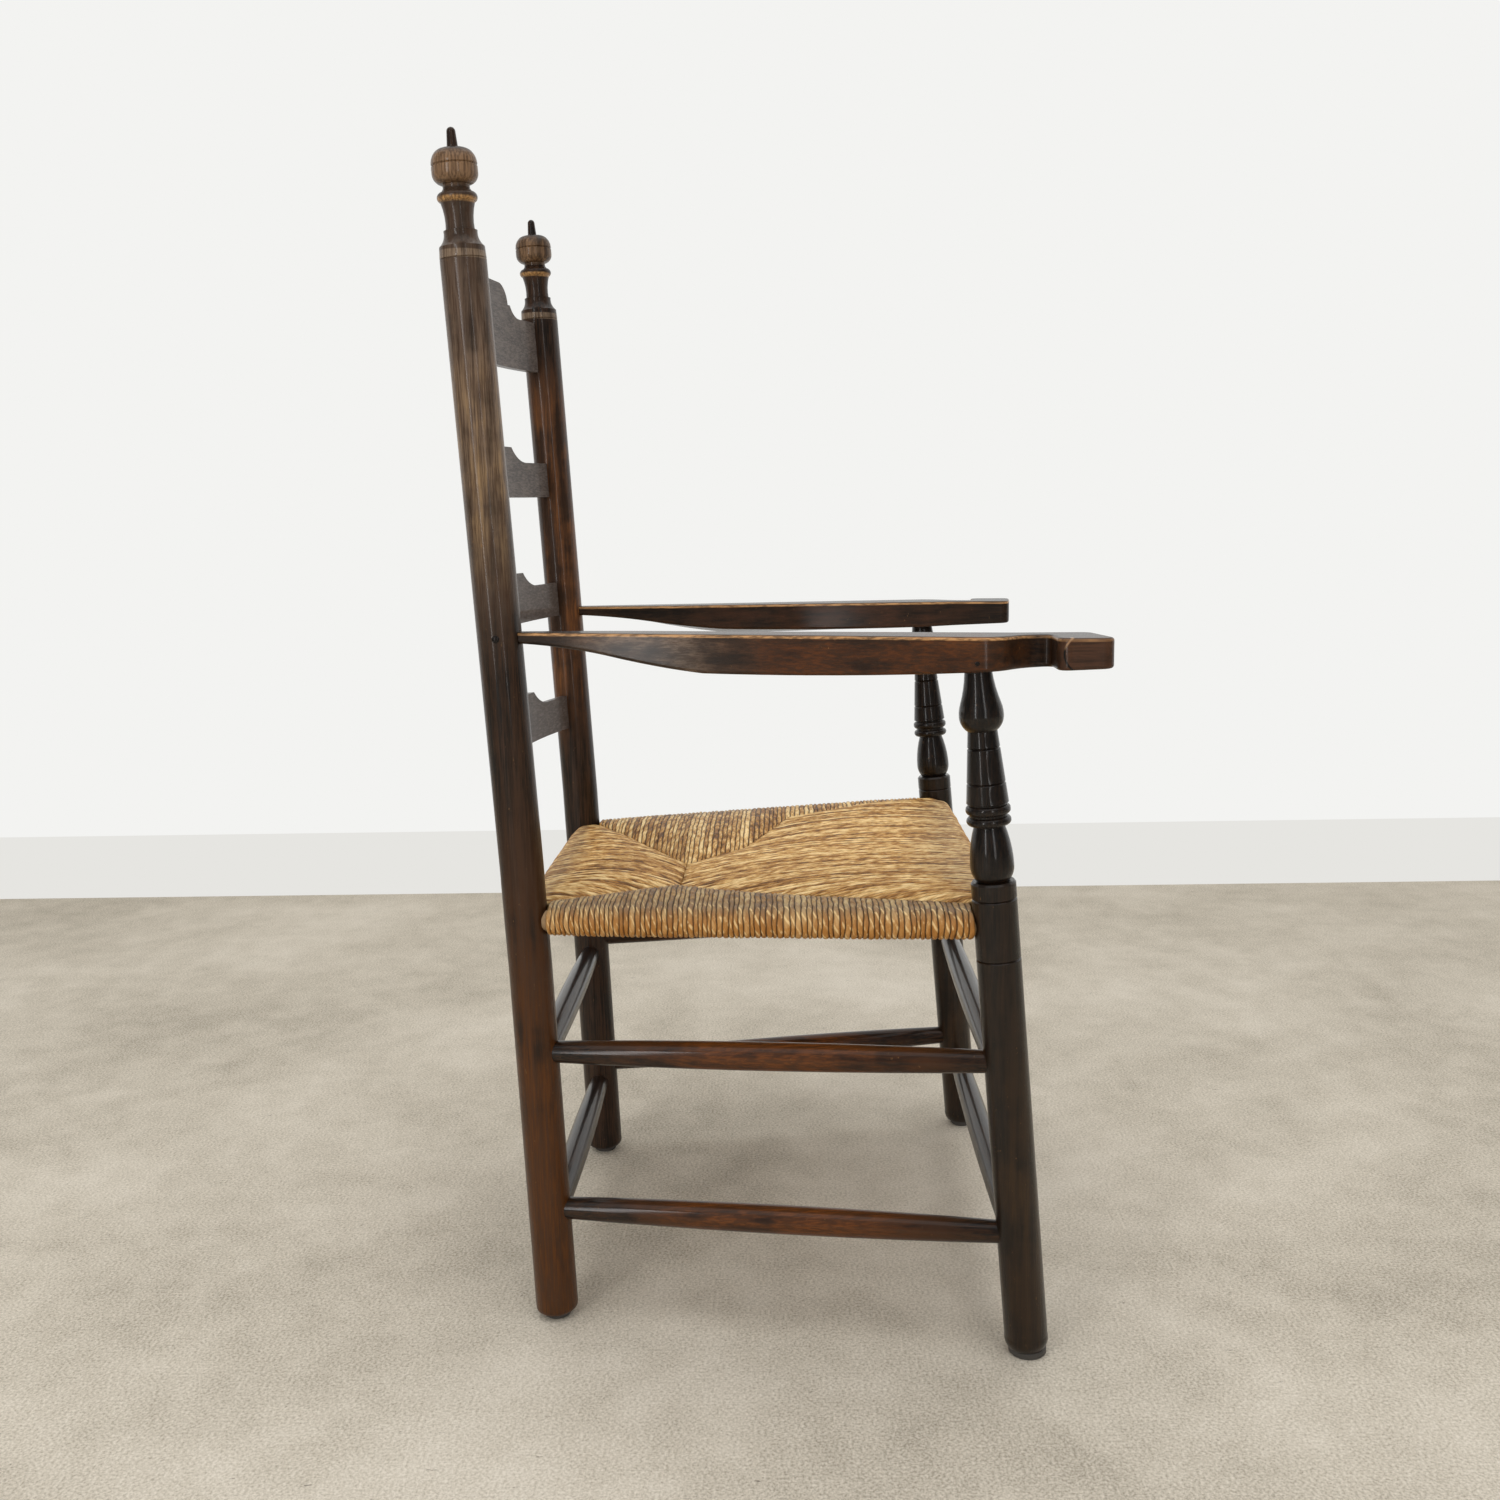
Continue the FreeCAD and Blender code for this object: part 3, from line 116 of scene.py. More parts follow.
class Nodes:
    """A node tree that is filled one node at a time."""

    def __init__(self, tree: bpy.types.NodeTree) -> None:
        """Take the tree to fill."""
        self.tree = tree

    def add(self, kind: str, settings: Mapping[str, object] | None = None,
            inputs: Mapping[str | int, object] | None = None, output: str | int = 0) -> Value:
        """Add a node, set it up, then fill its sockets.

        Args:
            kind: The node's type.
            settings: Its own settings. "stops" gives a ramp's places and colours.
            inputs: Sockets by name or number, each a value, a number or a colour.
            output: The socket that the result wraps.

        Returns:
            The chosen output.
        """
        node = self.tree.nodes.new(kind)
        for name, setting in (settings or {}).items():
            if name == "stops":
                self._set_stops(node.color_ramp, setting)
            else:
                setattr(node, name, setting)
        for name, given in (inputs or {}).items():
            self.fill(node.inputs[name], given)
        return Value(self, node.outputs[output])

    def fill(self, socket: bpy.types.NodeSocket, given: object) -> None:
        """Link a value to a socket, or set a number or a colour on it."""
        if isinstance(given, Value):
            self.tree.links.new(given.socket, socket)
        else:
            socket.default_value = given

    @staticmethod
    def _set_stops(ramp: bpy.types.ColorRamp, stops: Sequence[tuple[float, Colour]]) -> None:
        """Give a ramp its stops."""
        while len(ramp.elements) < len(stops):
            ramp.elements.new(1.0)
        for element, (position, colour) in zip(ramp.elements, stops):
            element.position = position
            element.color = colour


class Recipe(Nodes):
    """The nodes of one material."""

    def __init__(self, name: str) -> None:
        """Start a material with a principled shader and nothing else on it."""
        self.material = bpy.data.materials.new(name)
        self.material.use_nodes = True
        super().__init__(self.material.node_tree)
        self.tree.nodes.clear()
        self.output = self.tree.nodes.new("ShaderNodeOutputMaterial")
        self.shader = self.tree.nodes.new("ShaderNodeBsdfPrincipled")
        self.tree.links.new(self.shader.outputs[0], self.output.inputs["Surface"])

    def place(self) -> Value:
        """The point on the piece in the chair's own frame, in metres."""
        return self.add("ShaderNodeTexCoord", output="Object")

    def axes(self, vector: Value) -> tuple[Value, Value, Value]:
        """The three parts of a vector."""
        first = self.add("ShaderNodeSeparateXYZ", None, {0: vector})
        return first, first.beside(1), first.beside(2)

    def stretched(self, vector: Value, scale: Point) -> Value:
        """A vector scaled along each axis."""
        return self.add("ShaderNodeMapping", None, {"Vector": vector, "Scale": scale})

    def noise(self, vector: Value, scale: float, detail: float = 3.0, rough: float = 0.55) -> Value:
        """A noise that runs from about 0.3 to 0.7."""
        return self.add("ShaderNodeTexNoise", None, {
            "Vector": vector, "Scale": scale, "Detail": detail, "Roughness": rough})

    def mix(self, factor: Value | float, first: Value | Colour, second: Value | Colour) -> Value:
        """Two colours mixed by a factor. A Mix node's colours go in at 6 and 7 and out at 2."""
        return self.add("ShaderNodeMix", {"data_type": "RGBA"}, {0: factor, 6: first, 7: second}, 2)

    def ramp(self, factor: Value, stops: Sequence[tuple[float, Colour]]) -> Value:
        """A colour looked up along a ramp."""
        return self.add("ShaderNodeValToRGB", {"stops": stops}, {0: factor})

    def dent(self, height: Value, depth: float) -> Value:
        """A normal bent by a height map whose 0 to 1 stands for a depth in metres."""
        return self.add("ShaderNodeBump", None, {
            "Height": height, "Distance": depth, "Strength": 1.0})

    def dress(self, **sockets: Value | float | Colour) -> bpy.types.Material:
        """Fill the principled shader's sockets, named with underscores for spaces."""
        for name, given in sockets.items():
            self.fill(self.shader.inputs[name.replace("_", " ")], given)
        return self.material


def shade(red: int, green: int, blue: int) -> Colour:
    """The linear colour of a display colour given in steps of 0 to 255."""
    parts = np.array((red, green, blue)) / 255
    linear = np.where(parts <= 0.04045, parts / 12.92, ((parts + 0.055) / 1.055) ** 2.4)
    return (*linear.tolist(), 1.0)


class Grain(Enum):
    """Which way the grain of a piece runs, as the stretch of its pattern along X, Y and Z."""

    UPRIGHT = (1.0, 1.0, 0.04)
    ALONG = (1.0, 0.04, 1.0)
    ACROSS = (0.04, 1.0, 1.0)


@dataclass(frozen=True)
class Patch:
    """A stretch of a piece where its finish takes another tone, broken up by the grain.

    It runs from low to high along axis 0, 1 or 2, fades over the blur round both ends, and takes
    the tone the more fully the nearer its cover is to 1.
    """

    axis: int
    low: float
    high: float
    blur: float
    tone: Colour
    cover: float = 0.6

    def over(self, recipe: Recipe, tone: Value, at: Value, cloudy: Value, streaks: Value) -> Value:
        """Lay the patch over a finish.

        Args:
            recipe: The material's recipe.
            tone: The colour so far.
            at: Where each point lies along the patch's axis.
            cloudy: The noise whose higher parts take the new tone fully.
            streaks: The fine streaks, through the higher of which the old tone shows.

        Returns:
            The colour with the patch.
        """
        inside = at.above(self.low, self.blur) * at.below(self.high, self.blur)
        ragged = cloudy.above(0.62 - self.cover * 0.24, 0.12)
        inside = inside * (ragged * 0.7 + 0.3 * self.cover)
        tint = recipe.mix(streaks.above(0.5, 0.16) * 0.7, self.tone, tone)
        return recipe.mix(inside, tone, tint)


@dataclass(frozen=True)
class Scroll:
    """A cut line on the outer side of the right hand: part of a circle seen from the side.

    It is drawn where X is less than beyond_x, on the half of the circle that lies behind its
    centre, and its upper end is worn bright.
    """

    beyond_x: float
    y: float
    z: float
    radius: float
    half_width: float
    tone: Colour
    lit: Colour

    def over(self, recipe: Recipe, tone: Value, place: tuple[Value, Value, Value]) -> Value:
        """Draw the scroll: the points whose distance from its centre is near its radius.

        Args:
            recipe: The material's recipe.
            tone: The colour so far.
            place: The point's X, Y and Z.

        Returns:
            The colour with the dark line, and its worn upper end, drawn in.
        """
        x, y, z = place
        distance = ((y - self.y) ** 2.0 + (z - self.z) ** 2.0) ** 0.5
        line = (distance - self.radius).maths("ABSOLUTE").below(self.half_width, self.half_width)
        line = line * x.below(self.beyond_x, 0.002) * y.above(self.y, 0.006)
        upper = z.above(self.z + self.radius / 3, 0.006)
        return recipe.mix(line, tone, recipe.mix(upper, self.tone, self.lit))


@dataclass(frozen=True)
class VarnishedWood:
    """Dark varnish over brown wood, with fine streaks, worn specks and patches of other tones.

    The scales are in waves per metre. A patch along Z is measured at the point's Z less its Y
    times the lean, so that it follows an arm that rises to the back.
    """

    name: str
    grain: Grain
    dark: Colour = shade(22, 15, 10)
    brown: Colour = shade(50, 33, 20)
    worn: Colour = shade(150, 108, 64)
    wear: float = 0.12
    roughness: float = 0.34
    gloss: float = 0.3
    lean: float = 0.0
    patches: tuple[Patch, ...] = ()
    scroll: Scroll | None = None
    streak_scale: float = 520.0
    pore_scale: float = 1500.0
    cloud_scale: float = 16.0
    broad_scale: float = 110.0
    speck_scale: float = 200.0
    relief: float = 0.0004
    specular: float = 0.16
    coat_roughness: float = 0.12
    coat_ior: float = 1.38

    def material(self) -> bpy.types.Material:
        """Mix streaks along the grain, cloudy patches and worn specks into one finish."""
        recipe = Recipe(self.name)
        place = recipe.place()
        x, y, z = recipe.axes(place)
        along = recipe.stretched(place, self.grain.value)
        streaks = recipe.noise(along, self.streak_scale, 5.0, 0.65)
        pores = recipe.noise(along, self.pore_scale, 3.0, 0.7)
        clouds = recipe.noise(place, self.cloud_scale, 4.0, 0.6)
        broad = recipe.noise(along, self.broad_scale, 4.0, 0.6)
        tone = recipe.ramp(streaks * 0.5 + broad * 0.3 + clouds * 0.2, (
            (0.43, self.dark), (0.57, self.brown)))
        places = (x, y, z - y * self.lean)
        cloudy = broad * 0.5 + clouds * 0.5
        for patch in self.patches:
            tone = patch.over(recipe, tone, places[patch.axis], cloudy, streaks)
        if self.scroll:
            tone = self.scroll.over(recipe, tone, (x, y, z))
        chips = recipe.stretched(place, (1.0, 1.0, 0.5))
        specks = recipe.noise(chips, self.speck_scale, 4.0, 0.8).above(0.71 - self.wear * 0.2, 0.05)
        return recipe.dress(
            Base_Color=recipe.mix(specks * 0.4, tone, self.worn),
            Roughness=self.roughness + specks * 0.2 + clouds * 0.15,
            Normal=recipe.dent(streaks * 0.5 + pores * 0.5, self.relief),
            Specular_IOR_Level=self.specular,
            Coat_Weight=self.gloss,
            Coat_Roughness=self.coat_roughness,
            Coat_IOR=self.coat_ior,
        )


@dataclass(frozen=True)
class PanelForm:
    """How one panel of the seat is wound: its first strand's number, and how full it is.

    The crown at its ends, the sag and the thinning of the roll at its ends are shares of the
    seat's own crown, sag and roll.
    """

    first_strand: int
    end_crown: float = 0.1
    sag: float = 0.5
    thinning: float = 0.08


class Side(Enum):
    """The four wound panels of the seat. The side panels have the highest strand numbers."""

    BACK = PanelForm(0, thinning=0.19)
    FRONT = PanelForm(200, end_crown=0.5, sag=1.0)
    LEFT = PanelForm(400)
    RIGHT = PanelForm(600)


@dataclass(frozen=True)
class Rush:
    """Twisted rush, golden tan, more orange round the rails, greyer on top, darker on the right.

    The rates are in waves or turns per metre of strand. The steps set each strand's pattern
    apart from that of its neighbour.
    """

    name: str = "rush"
    # The brightest tone paints highlights on the strands, and the darkest paints the shade in the
    # grooves between them.
    glint: Colour = shade(244, 212, 152)
    pale: Colour = shade(206, 162, 98)
    tan: Colour = shade(170, 120, 58)
    deep: Colour = shade(110, 72, 32)
    orange: Colour = shade(196, 124, 38)
    grey: Colour = shade(128, 112, 92)
    right_panel_tone: Colour = shade(122, 98, 66)
    gap: Colour = shade(40, 24, 10)
    twist_rate: float = 62.0
    slant_rate: float = 210.0
    fibre_rate: float = 45.0
    streak_rate: float = 58.0
    fibre_step: float = 7.31
    streak_step: float = 3.77
    relief: float = 0.0011
    specular: float = 0.35

    def material(self) -> bpy.types.Material:
        """Colour each strand along its fibres and by its place, from the winding's own maps.

        The map "winding" holds the strand's number with the share of its width, and the length
        along it. The map "wrap" holds the place round the rail: 0 all along the underside, 1 on
        top of the rail and 2 at the seam on top. The half steps before a panel's first number
        tell the strands of that panel and the next ones from the rest.
        """
        recipe = Recipe(self.name)
        strand, along, _ = recipe.axes(recipe.add("ShaderNodeUVMap", {"uv_map": "winding"}))
        turn, _, _ = recipe.axes(recipe.add("ShaderNodeUVMap", {"uv_map": "wrap"}))
        number = strand.maths("FLOOR")
        inside = strand.fraction()
        chance = recipe.add("ShaderNodeTexWhiteNoise", {"noise_dimensions": "1D"}, {"W": number})
        twist = inside * 0.8 + along * self.twist_rate + chance * 9.0
        fibre_at = recipe.add("ShaderNodeCombineXYZ", None, {
            0: inside * 5.0 + along * self.slant_rate,
            1: along * self.fibre_rate,
            2: number * self.fibre_step})
        fibres = recipe.noise(fibre_at, 1.0, 3.0, 0.6)
        streak_at = recipe.add("ShaderNodeCombineXYZ", None, {
            0: number * self.streak_step + inside * 0.7,
            1: along * self.streak_rate,
            2: chance * 40.0})
        streaks = recipe.noise(streak_at, 1.0, 3.0, 0.65)
        lobes = (twist * (2.0 * math.pi)).maths("SINE") * 0.5 + 0.5
        # The top stop of this ramp paints glints into the brightest streaks as highlights.
        tone = recipe.ramp(streaks * 0.6 + fibres * 0.25 + chance * 0.15, (
            (0.38, self.deep), (0.46, self.tan), (0.52, self.pale), (0.61, self.glint)))
        # The right panel is mixed towards a darker, greyer brown.
        right_panel = number.above(Side.RIGHT.value.first_strand - 0.5, 0.1)
        tone = recipe.mix(right_panel * 0.55, tone, self.right_panel_tone)
        low_wrap = turn.below(0.75, 0.7)
        tone = recipe.mix(low_wrap * 0.5, tone, self.orange)
        crest = turn.above(0.75, 0.25) * turn.below(1.15, 0.2)
        tone = recipe.mix(crest * 0.4, tone, self.grey)
        # Painted highlights: glints on the twists of the strands round the rail.
        glints = lobes.above(0.85, 0.2) * streaks.above(0.5, 0.1) * turn.below(1.05, 0.2)
        tone = recipe.mix(glints * 0.6, tone, self.glint)
        # Painted shade: each strand darkens towards its edges into the grooves, most strongly on
        # the roll and the side panels.
        edge = (inside * 2.0 - 1.0) ** 2.0
        side_panels = number.above(Side.LEFT.value.first_strand - 0.5, 0.1)
        grooved = turn.below(1.12, 0.1).maths("MAXIMUM", side_panels)
        shadow = edge.above(0.62, 0.5) * (0.4 + grooved * 0.5)
        return recipe.dress(
            Base_Color=recipe.mix(shadow, tone, self.gap),
            Roughness=0.36 + fibres * 0.3,
            Normal=recipe.dent(fibres * 0.5 + lobes * 0.5, self.relief),
            Specular_IOR_Level=self.specular,
        )


@dataclass(frozen=True)
class Plain:
    """A quiet finish with a little mottling, for glides, nails and hidden rails."""

    name: str
    colour: Colour
    roughness: float = 0.5
    metallic: float = 0.0
    mottle_scale: float = 180.0
    relief: float = 0.0002

    def material(self) -> bpy.types.Material:
        """Mottle one colour and its gloss."""
        recipe = Recipe(self.name)
        mottle = recipe.noise(recipe.place(), self.mottle_scale, 4.0)
        darker = tuple(part * 0.6 for part in self.colour[:3]) + (1.0,)
        return recipe.dress(
            Base_Color=recipe.mix(mottle, darker, self.colour),
            Roughness=self.roughness + mottle * 0.2,
            Metallic=self.metallic,
            Normal=recipe.dent(mottle, self.relief),
        )


def surface(name: str, points: np.ndarray, around: bool,
            maps: Mapping[str, np.ndarray] | None = None) -> bpy.types.Object:
    """A smooth mesh over a grid of points.

    Its faces point along the cross product of the step between columns and the step between
    rows.

    Args:
        name: The piece's name.
        points: Rows by columns by 3, in metres.
        around: Whether each row closes on itself.
        maps: Maps over the grid by name, with one column more where the rows close.

    Returns:
        The new object, linked to the scene.
    """
    rows, columns, _ = points.shape
    spans = columns if around else columns - 1
    row = np.arange(rows - 1)[:, None]
    column = np.arange(spans)[None, :]
    following = (column + 1) % columns
    corners = np.stack(np.broadcast_arrays(
        row * columns + column, row * columns + following,
        (row + 1) * columns + following, (row + 1) * columns + column), axis=-1).reshape(-1, 4)
    mesh = bpy.data.meshes.new(name)
    mesh.from_pydata(points.reshape(-1, 3).tolist(), [], corners.tolist())
    for label, grid in (maps or {}).items():
        layer = mesh.uv_layers.new(name=label)
        picks = np.stack((grid[:-1, :-1], grid[:-1, 1:], grid[1:, 1:], grid[1:, :-1]), axis=2)
        layer.data.foreach_set("uv", picks.astype(np.float32).reshape(-1))
    mesh.polygons.foreach_set("use_smooth", np.ones(len(mesh.polygons), dtype=bool))
    mesh.update()
    piece = bpy.data.objects.new(name, mesh)
    bpy.context.scene.collection.objects.link(piece)
    return piece


@dataclass
class RushSeat:
    """The woven seat: four panels of strands wound over the rails, in millimetres until the end.

    Distances "ahead" run forward from the back rail. A seam is the line in plan where two panels
    meet, given as places ahead and to the side, with the drop of the surface below the rails.
    """

    back_half: float = 211.8
    front_half: float = 289.2
    back_y: float = 239.3
    front_y: float = -218.6
    back_level: float = 424.5
    front_level: float = 436.3
    back_inset: float = 6.0
    roll: float = 16.0
    keel_share: float = 0.8
    thinning_reach: float = 70.0
    front_thinning: float = 0.03
    crown: float = 6.5
    crown_reach: float = 120.0
    seam_drop: float = 15.0
    seam_gap: float = 0.4
    sag: float = 8.0
    corner: float = 22.3
    post_radius: float = 21.8
    hug_reach: float = 14.0
    hug_share: float = 0.3
    left_seam: tuple[tuple[float, float], ...] = (
        (146.0, 6.0), (209.0, 60.0), (234.0, 118.0), (262.0, 190.0), (342.0, 238.0))
    right_seam: tuple[tuple[float, float], ...] = (
        (146.0, 110.0), (195.0, 152.0), (274.0, 198.0), (354.0, 232.0))
    strand_width: float = 5.2
    narrowest: float = 0.78
    widest: float = 1.22
    strand_relief: float = 2.0
    ripple: float = 0.3
    ripple_length: float = 5.0
    wander: float = 0.5
    wander_length: float = 9.0
    unevenness: float = 0.35
    numbers: int = 900
    columns_per_strand: int = 5
    row_step: float = 6.8
    hidden_row_step: float = 18.0
    nose_rows: int = 16
    wall_rows: int = 5
    rng: np.random.Generator = field(default_factory=lambda: np.random.default_rng(11))

    @property
    def depth(self) -> float:
        """The distance between the front and back rails."""
        return self.back_y - self.front_y

    def half_width(self, ahead: np.ndarray | float) -> np.ndarray | float:
        """Half the width between the side rails at a distance ahead of the back rail."""
        return self.back_half + (self.front_half - self.back_half) * ahead / self.depth

    def level(self, ahead: np.ndarray) -> np.ndarray:
        """The height of the rails at a distance ahead of the back rail."""
        return self.back_level + (self.front_level - self.back_level) * ahead / self.depth

    def seam(self, side: Side) -> tuple[np.ndarray, np.ndarray, np.ndarray]:
        """One side's whole seam: places ahead, distances from the middle and drops.

        The drop grows as the power 1.3 of how far the side panel reaches in past the corner.
        """
        bends = self.left_seam if side is Side.LEFT else self.right_seam
        ahead = np.array([self.corner, *(bend[0] for bend in bends), self.depth - self.corner])
        out = np.array([0.0, *(bend[1] for bend in bends), 0.0])
        out[[0, -1]] = self.half_width(ahead[[0, -1]]) - self.corner
        reach = self.half_width(ahead) - out - self.corner
        return ahead, out, self.seam_drop * (reach / reach.max()) ** 1.3

    def seam_across(self, side: Side) -> tuple[np.ndarray, np.ndarray, np.ndarray]:
        """The seam that ends a back or front panel: places across, ahead and drops."""
        left_ahead, left_out, left_drop = self.seam(Side.LEFT)
        right_ahead, right_out, right_drop = self.seam(Side.RIGHT)
        left = np.stack((left_out, left_ahead, left_drop))
        right = np.stack((-right_out, right_ahead, right_drop))
        if side is Side.BACK:
            joined = np.concatenate((right[:, :2], left[:, 1::-1]), axis=1)
        else:
            joined = np.concatenate((right[:, :0:-1], left[:, 1:]), axis=1)
        return joined[0], joined[1], joined[2]

    def section(self, inner: np.ndarray, drop: np.ndarray, crown: np.ndarray, sag: np.ndarray,
                roll: np.ndarray) -> tuple[np.ndarray, np.ndarray, np.ndarray]:
        """The line that each strand follows, square to its rail.

        It is a parabola from the keel down to the belly and up to the rail, a half circle round
        the rail, and then the top: a parabola over the crown, less the drop times the cube of
        the share of the way in. The straight wall of the seam closes it.

        Args:
            inner: How far each column reaches inward from the rail.
            drop: How far each column's inner end lies below the top of the rail.
            crown: How far each column rises above the line from the rail to the seam.
            sag: How far each column hangs below the roll.
            roll: The radius of each column round the rail.

        Returns:
            Distance inward, height over the rail, and place round the rail, rows by columns.
        """
        longest = inner.max()
        inner, drop, crown, sag, roll = (
            given[None, :] for given in (inner, drop, crown, sag, roll))
        under = np.linspace(0, 1, max(int(longest / self.hidden_row_step), 8))[:, None]
        keel = -roll * self.keel_share
        belly_up = keel * (1 - under) - roll * under - 4 * sag * under * (1 - under)
        nose = np.linspace(0, 1, self.nose_rows)[1:-1, None]
        angle = math.pi * (nose - 0.5)
        top = np.linspace(0, 1, max(int(longest / self.row_step), 12))[:, None]
        top_up = roll - drop * top ** 3 + 4 * crown * top * (1 - top)
        wall = np.linspace(0, 1, self.wall_rows)[1:-1, None]
        wall_up = roll - drop + (keel - roll + drop) * wall
        flat = 0 * inner
        inward = np.concatenate((inner * (1 - under), -roll * np.cos(angle), inner * top,
                                 inner + flat * wall))
        up = np.concatenate((belly_up, roll * np.sin(angle), top_up, wall_up))
        turn = np.concatenate((flat + 0 * under, flat + nose, flat + 1 + top, flat + 2 + 0 * wall))
        return inward, up, turn

    def strands(self, start: float, stop: float) -> tuple[np.ndarray, np.ndarray]:
        """Lay strands of slightly uneven width side by side.

        The columns of a strand are spaced as the cosine of equal steps, so its sides are as
        finely drawn as its top.

        Args:
            start: Where the first strand begins along the rail.
            stop: Where the last one ends.

        Returns:
            Each column's place along the rail, and its strand number with the share across it.
        """
        count = round((stop - start) / self.strand_width)
        widths = self.rng.uniform(self.narrowest, self.widest, count)
        edges = start + (stop - start) * np.concatenate(([0], np.cumsum(widths))) / widths.sum()
        steps = np.arange(self.columns_per_strand) / self.columns_per_strand
        share = (1 - np.cos(math.pi * steps)) / 2
        along = np.append((edges[:-1, None] + np.diff(edges)[:, None] * share).reshape(-1), stop)
        number = np.append((np.arange(count)[:, None] + share).reshape(-1), count)
        return along, number

    def waves(self, run: np.ndarray, number: np.ndarray, length: float) -> np.ndarray:
        """Uneven waves along each strand's edges, shared by the two strands that meet there.

        Each edge has the sum of two sines of its own phases, the second 0.6 times as high and
        2.3 times as close, and the points of a strand take the mix of its two edges by their
        share across it.
        """
        count = int(number[-1]) + 1
        phases = self.rng.uniform(0, 2 * math.pi, (2, count + 1))
        low = np.minimum(number.astype(int), count - 1)
        share = number - low
        mixed = 0.0
        for edge, weight in ((low, 1 - share), (low + 1, share)):
            wave = np.sin(run / length + phases[0][edge]) + 0.6 * np.sin(
                run / length * 2.3 + phases[1][edge])
            mixed = mixed + weight * wave
        return mixed

    def columns(self, side: Side) -> tuple[np.ndarray, np.ndarray, np.ndarray, np.ndarray]:
        """Lay one panel's strands between its seams.

        Args:
            side: Which of the four panels.

        Returns:
            Each column's place along its rail, its strand number with the share across it, how
            far it reaches inward, and how far its inner end drops.
        """
        if side in (Side.LEFT, Side.RIGHT):
            ahead, out, seam_drop = self.seam(side)
            along, number = self.strands(ahead[0], ahead[-1])
            inner = self.half_width(along) - np.interp(along, ahead, out)
            return along, number, inner, np.interp(along, ahead, seam_drop)
        seam_x, seam_ahead, seam_drop = self.seam_across(side)
        along, number = self.strands(seam_x[0], seam_x[-1])
        ahead = np.interp(along, seam_x, seam_ahead)
        inner = ahead - self.back_inset if side is Side.BACK else self.depth - ahead
        return along, number, inner, np.interp(along, seam_x, seam_drop)

    def panel(self, side: Side) -> tuple[np.ndarray, dict[str, np.ndarray]]:
        """One panel's grid of points and its maps.

        A column is a line along a strand. The crown grows from its share at the corner to the
        whole at the crown's reach, and the roll grows as the power 0.6 of the distance from the
        panel's end.

        Args:
            side: Which of the four panels.

        Returns:
            Points, rows by columns by 3 in millimetres, and the maps by name.
        """
        form = side.value
        along, number, inner, drop = self.columns(side)
        grown = np.clip((inner - self.corner) / self.crown_reach, 0, 1)
        crown = self.crown * (form.end_crown + (1 - form.end_crown) * grown)
        sag = self.sag * form.sag * (drop / self.seam_drop)
        end = np.minimum(along - along[0], along[-1] - along)
        slim = 1 - form.thinning * (1 - np.clip(end / self.thinning_reach, 0, 1) ** 0.6)
        if side in (Side.LEFT, Side.RIGHT):
            slim = slim - self.front_thinning * along / self.depth
        inward, up, turn = self.section(inner - self.seam_gap, drop, crown, sag, self.roll * slim)
        points = self.set_out(side, self.hugging(along, inward), inward, up)
        steps = np.linalg.norm(np.diff(points, axis=0), axis=-1)
        run = np.concatenate((np.zeros((1, steps.shape[1])), np.cumsum(steps, axis=0)))
        points = self.stranded(points, run, number, form.first_strand)
        closing = run[-1] + np.linalg.norm(points[-1] - points[0], axis=-1)
        run = np.vstack((run, closing)) / 1000
        turn = np.vstack((turn, turn[-1]))
        numbered = np.broadcast_to(number + form.first_strand, run.shape)
        return points, {"winding": np.stack((numbered, run), axis=-1),
                        "wrap": np.stack((turn, 0 * turn), axis=-1)}

    def stranded(self, points: np.ndarray, run: np.ndarray, number: np.ndarray,
                 first_strand: int) -> np.ndarray:
        """Raise the strands out of a panel's smooth surface.

        Across each strand the surface follows a half circle flattened to the relief, so the
        strands stand proud and meet in grooves. Their edges wander, their tops ripple, and each
        stands a little higher or lower than the next.

        Args:
            points: The smooth surface, rows by columns by 3 in millimetres.
            run: The length along the strand at each point.
            number: Each column's strand number with the share across it.
            first_strand: The number of the panel's first strand in the whole seat.

        Returns:
            The moved points.
        """
        sideways = np.gradient(points, axis=1)
        sideways /= np.maximum(np.linalg.norm(sideways, axis=-1, keepdims=True), TINY)
        wandering = self.wander * self.waves(run, number, self.wander_length)
        points = points + sideways * wandering[..., None]
        ripples = self.waves(run, number, self.ripple_length)
        hump = np.sqrt(np.clip(1 - (2 * (number % 1) - 1) ** 2, 0, 1))
        relief = self.strand_relief * (hump - 1.0) + self.ripple * hump * ripples
        offsets = self.rng.uniform(-self.unevenness, self.unevenness, self.numbers)
        proud = offsets[(number + first_strand).astype(int)]
        return points + self.outward(points) * (relief + proud * hump)[..., None]

    def hugging(self, along: np.ndarray, inward: np.ndarray) -> np.ndarray:
        """Lay the outermost strands against the round posts.

        The post's surface falls back by its radius less the root of the radius squared less the
        offset squared, and the strands follow a share of that fall, fading out along the rail.
        """
        offset = np.clip(-inward, 0, 0.9 * self.post_radius)
        fall = self.post_radius - np.sqrt(self.post_radius ** 2 - offset ** 2)
        from_start = np.exp(-(along - along[0]) / self.hug_reach)
        from_stop = np.exp(-(along[-1] - along) / self.hug_reach)
        return along + self.hug_share * fall * (from_stop - from_start)

    def set_out(self, side: Side, along: np.ndarray, inward: np.ndarray,
                up: np.ndarray) -> np.ndarray:
        """Turn places along a rail, inward from it and over it into points of the chair."""
        if side is Side.BACK:
            y = self.back_y - self.back_inset - inward
            level = self.level(np.maximum(inward, 0))
            return np.stack((along, y, level + up), axis=-1)
        if side is Side.FRONT:
            level = self.level(self.depth - np.maximum(inward, 0))
            return np.stack((along, self.front_y + inward, level + up), axis=-1)
        sign = 1 if side is Side.LEFT else -1
        x = sign * (self.half_width(along) - inward)
        return np.stack((x, self.back_y - along, self.level(along) + up), axis=-1)

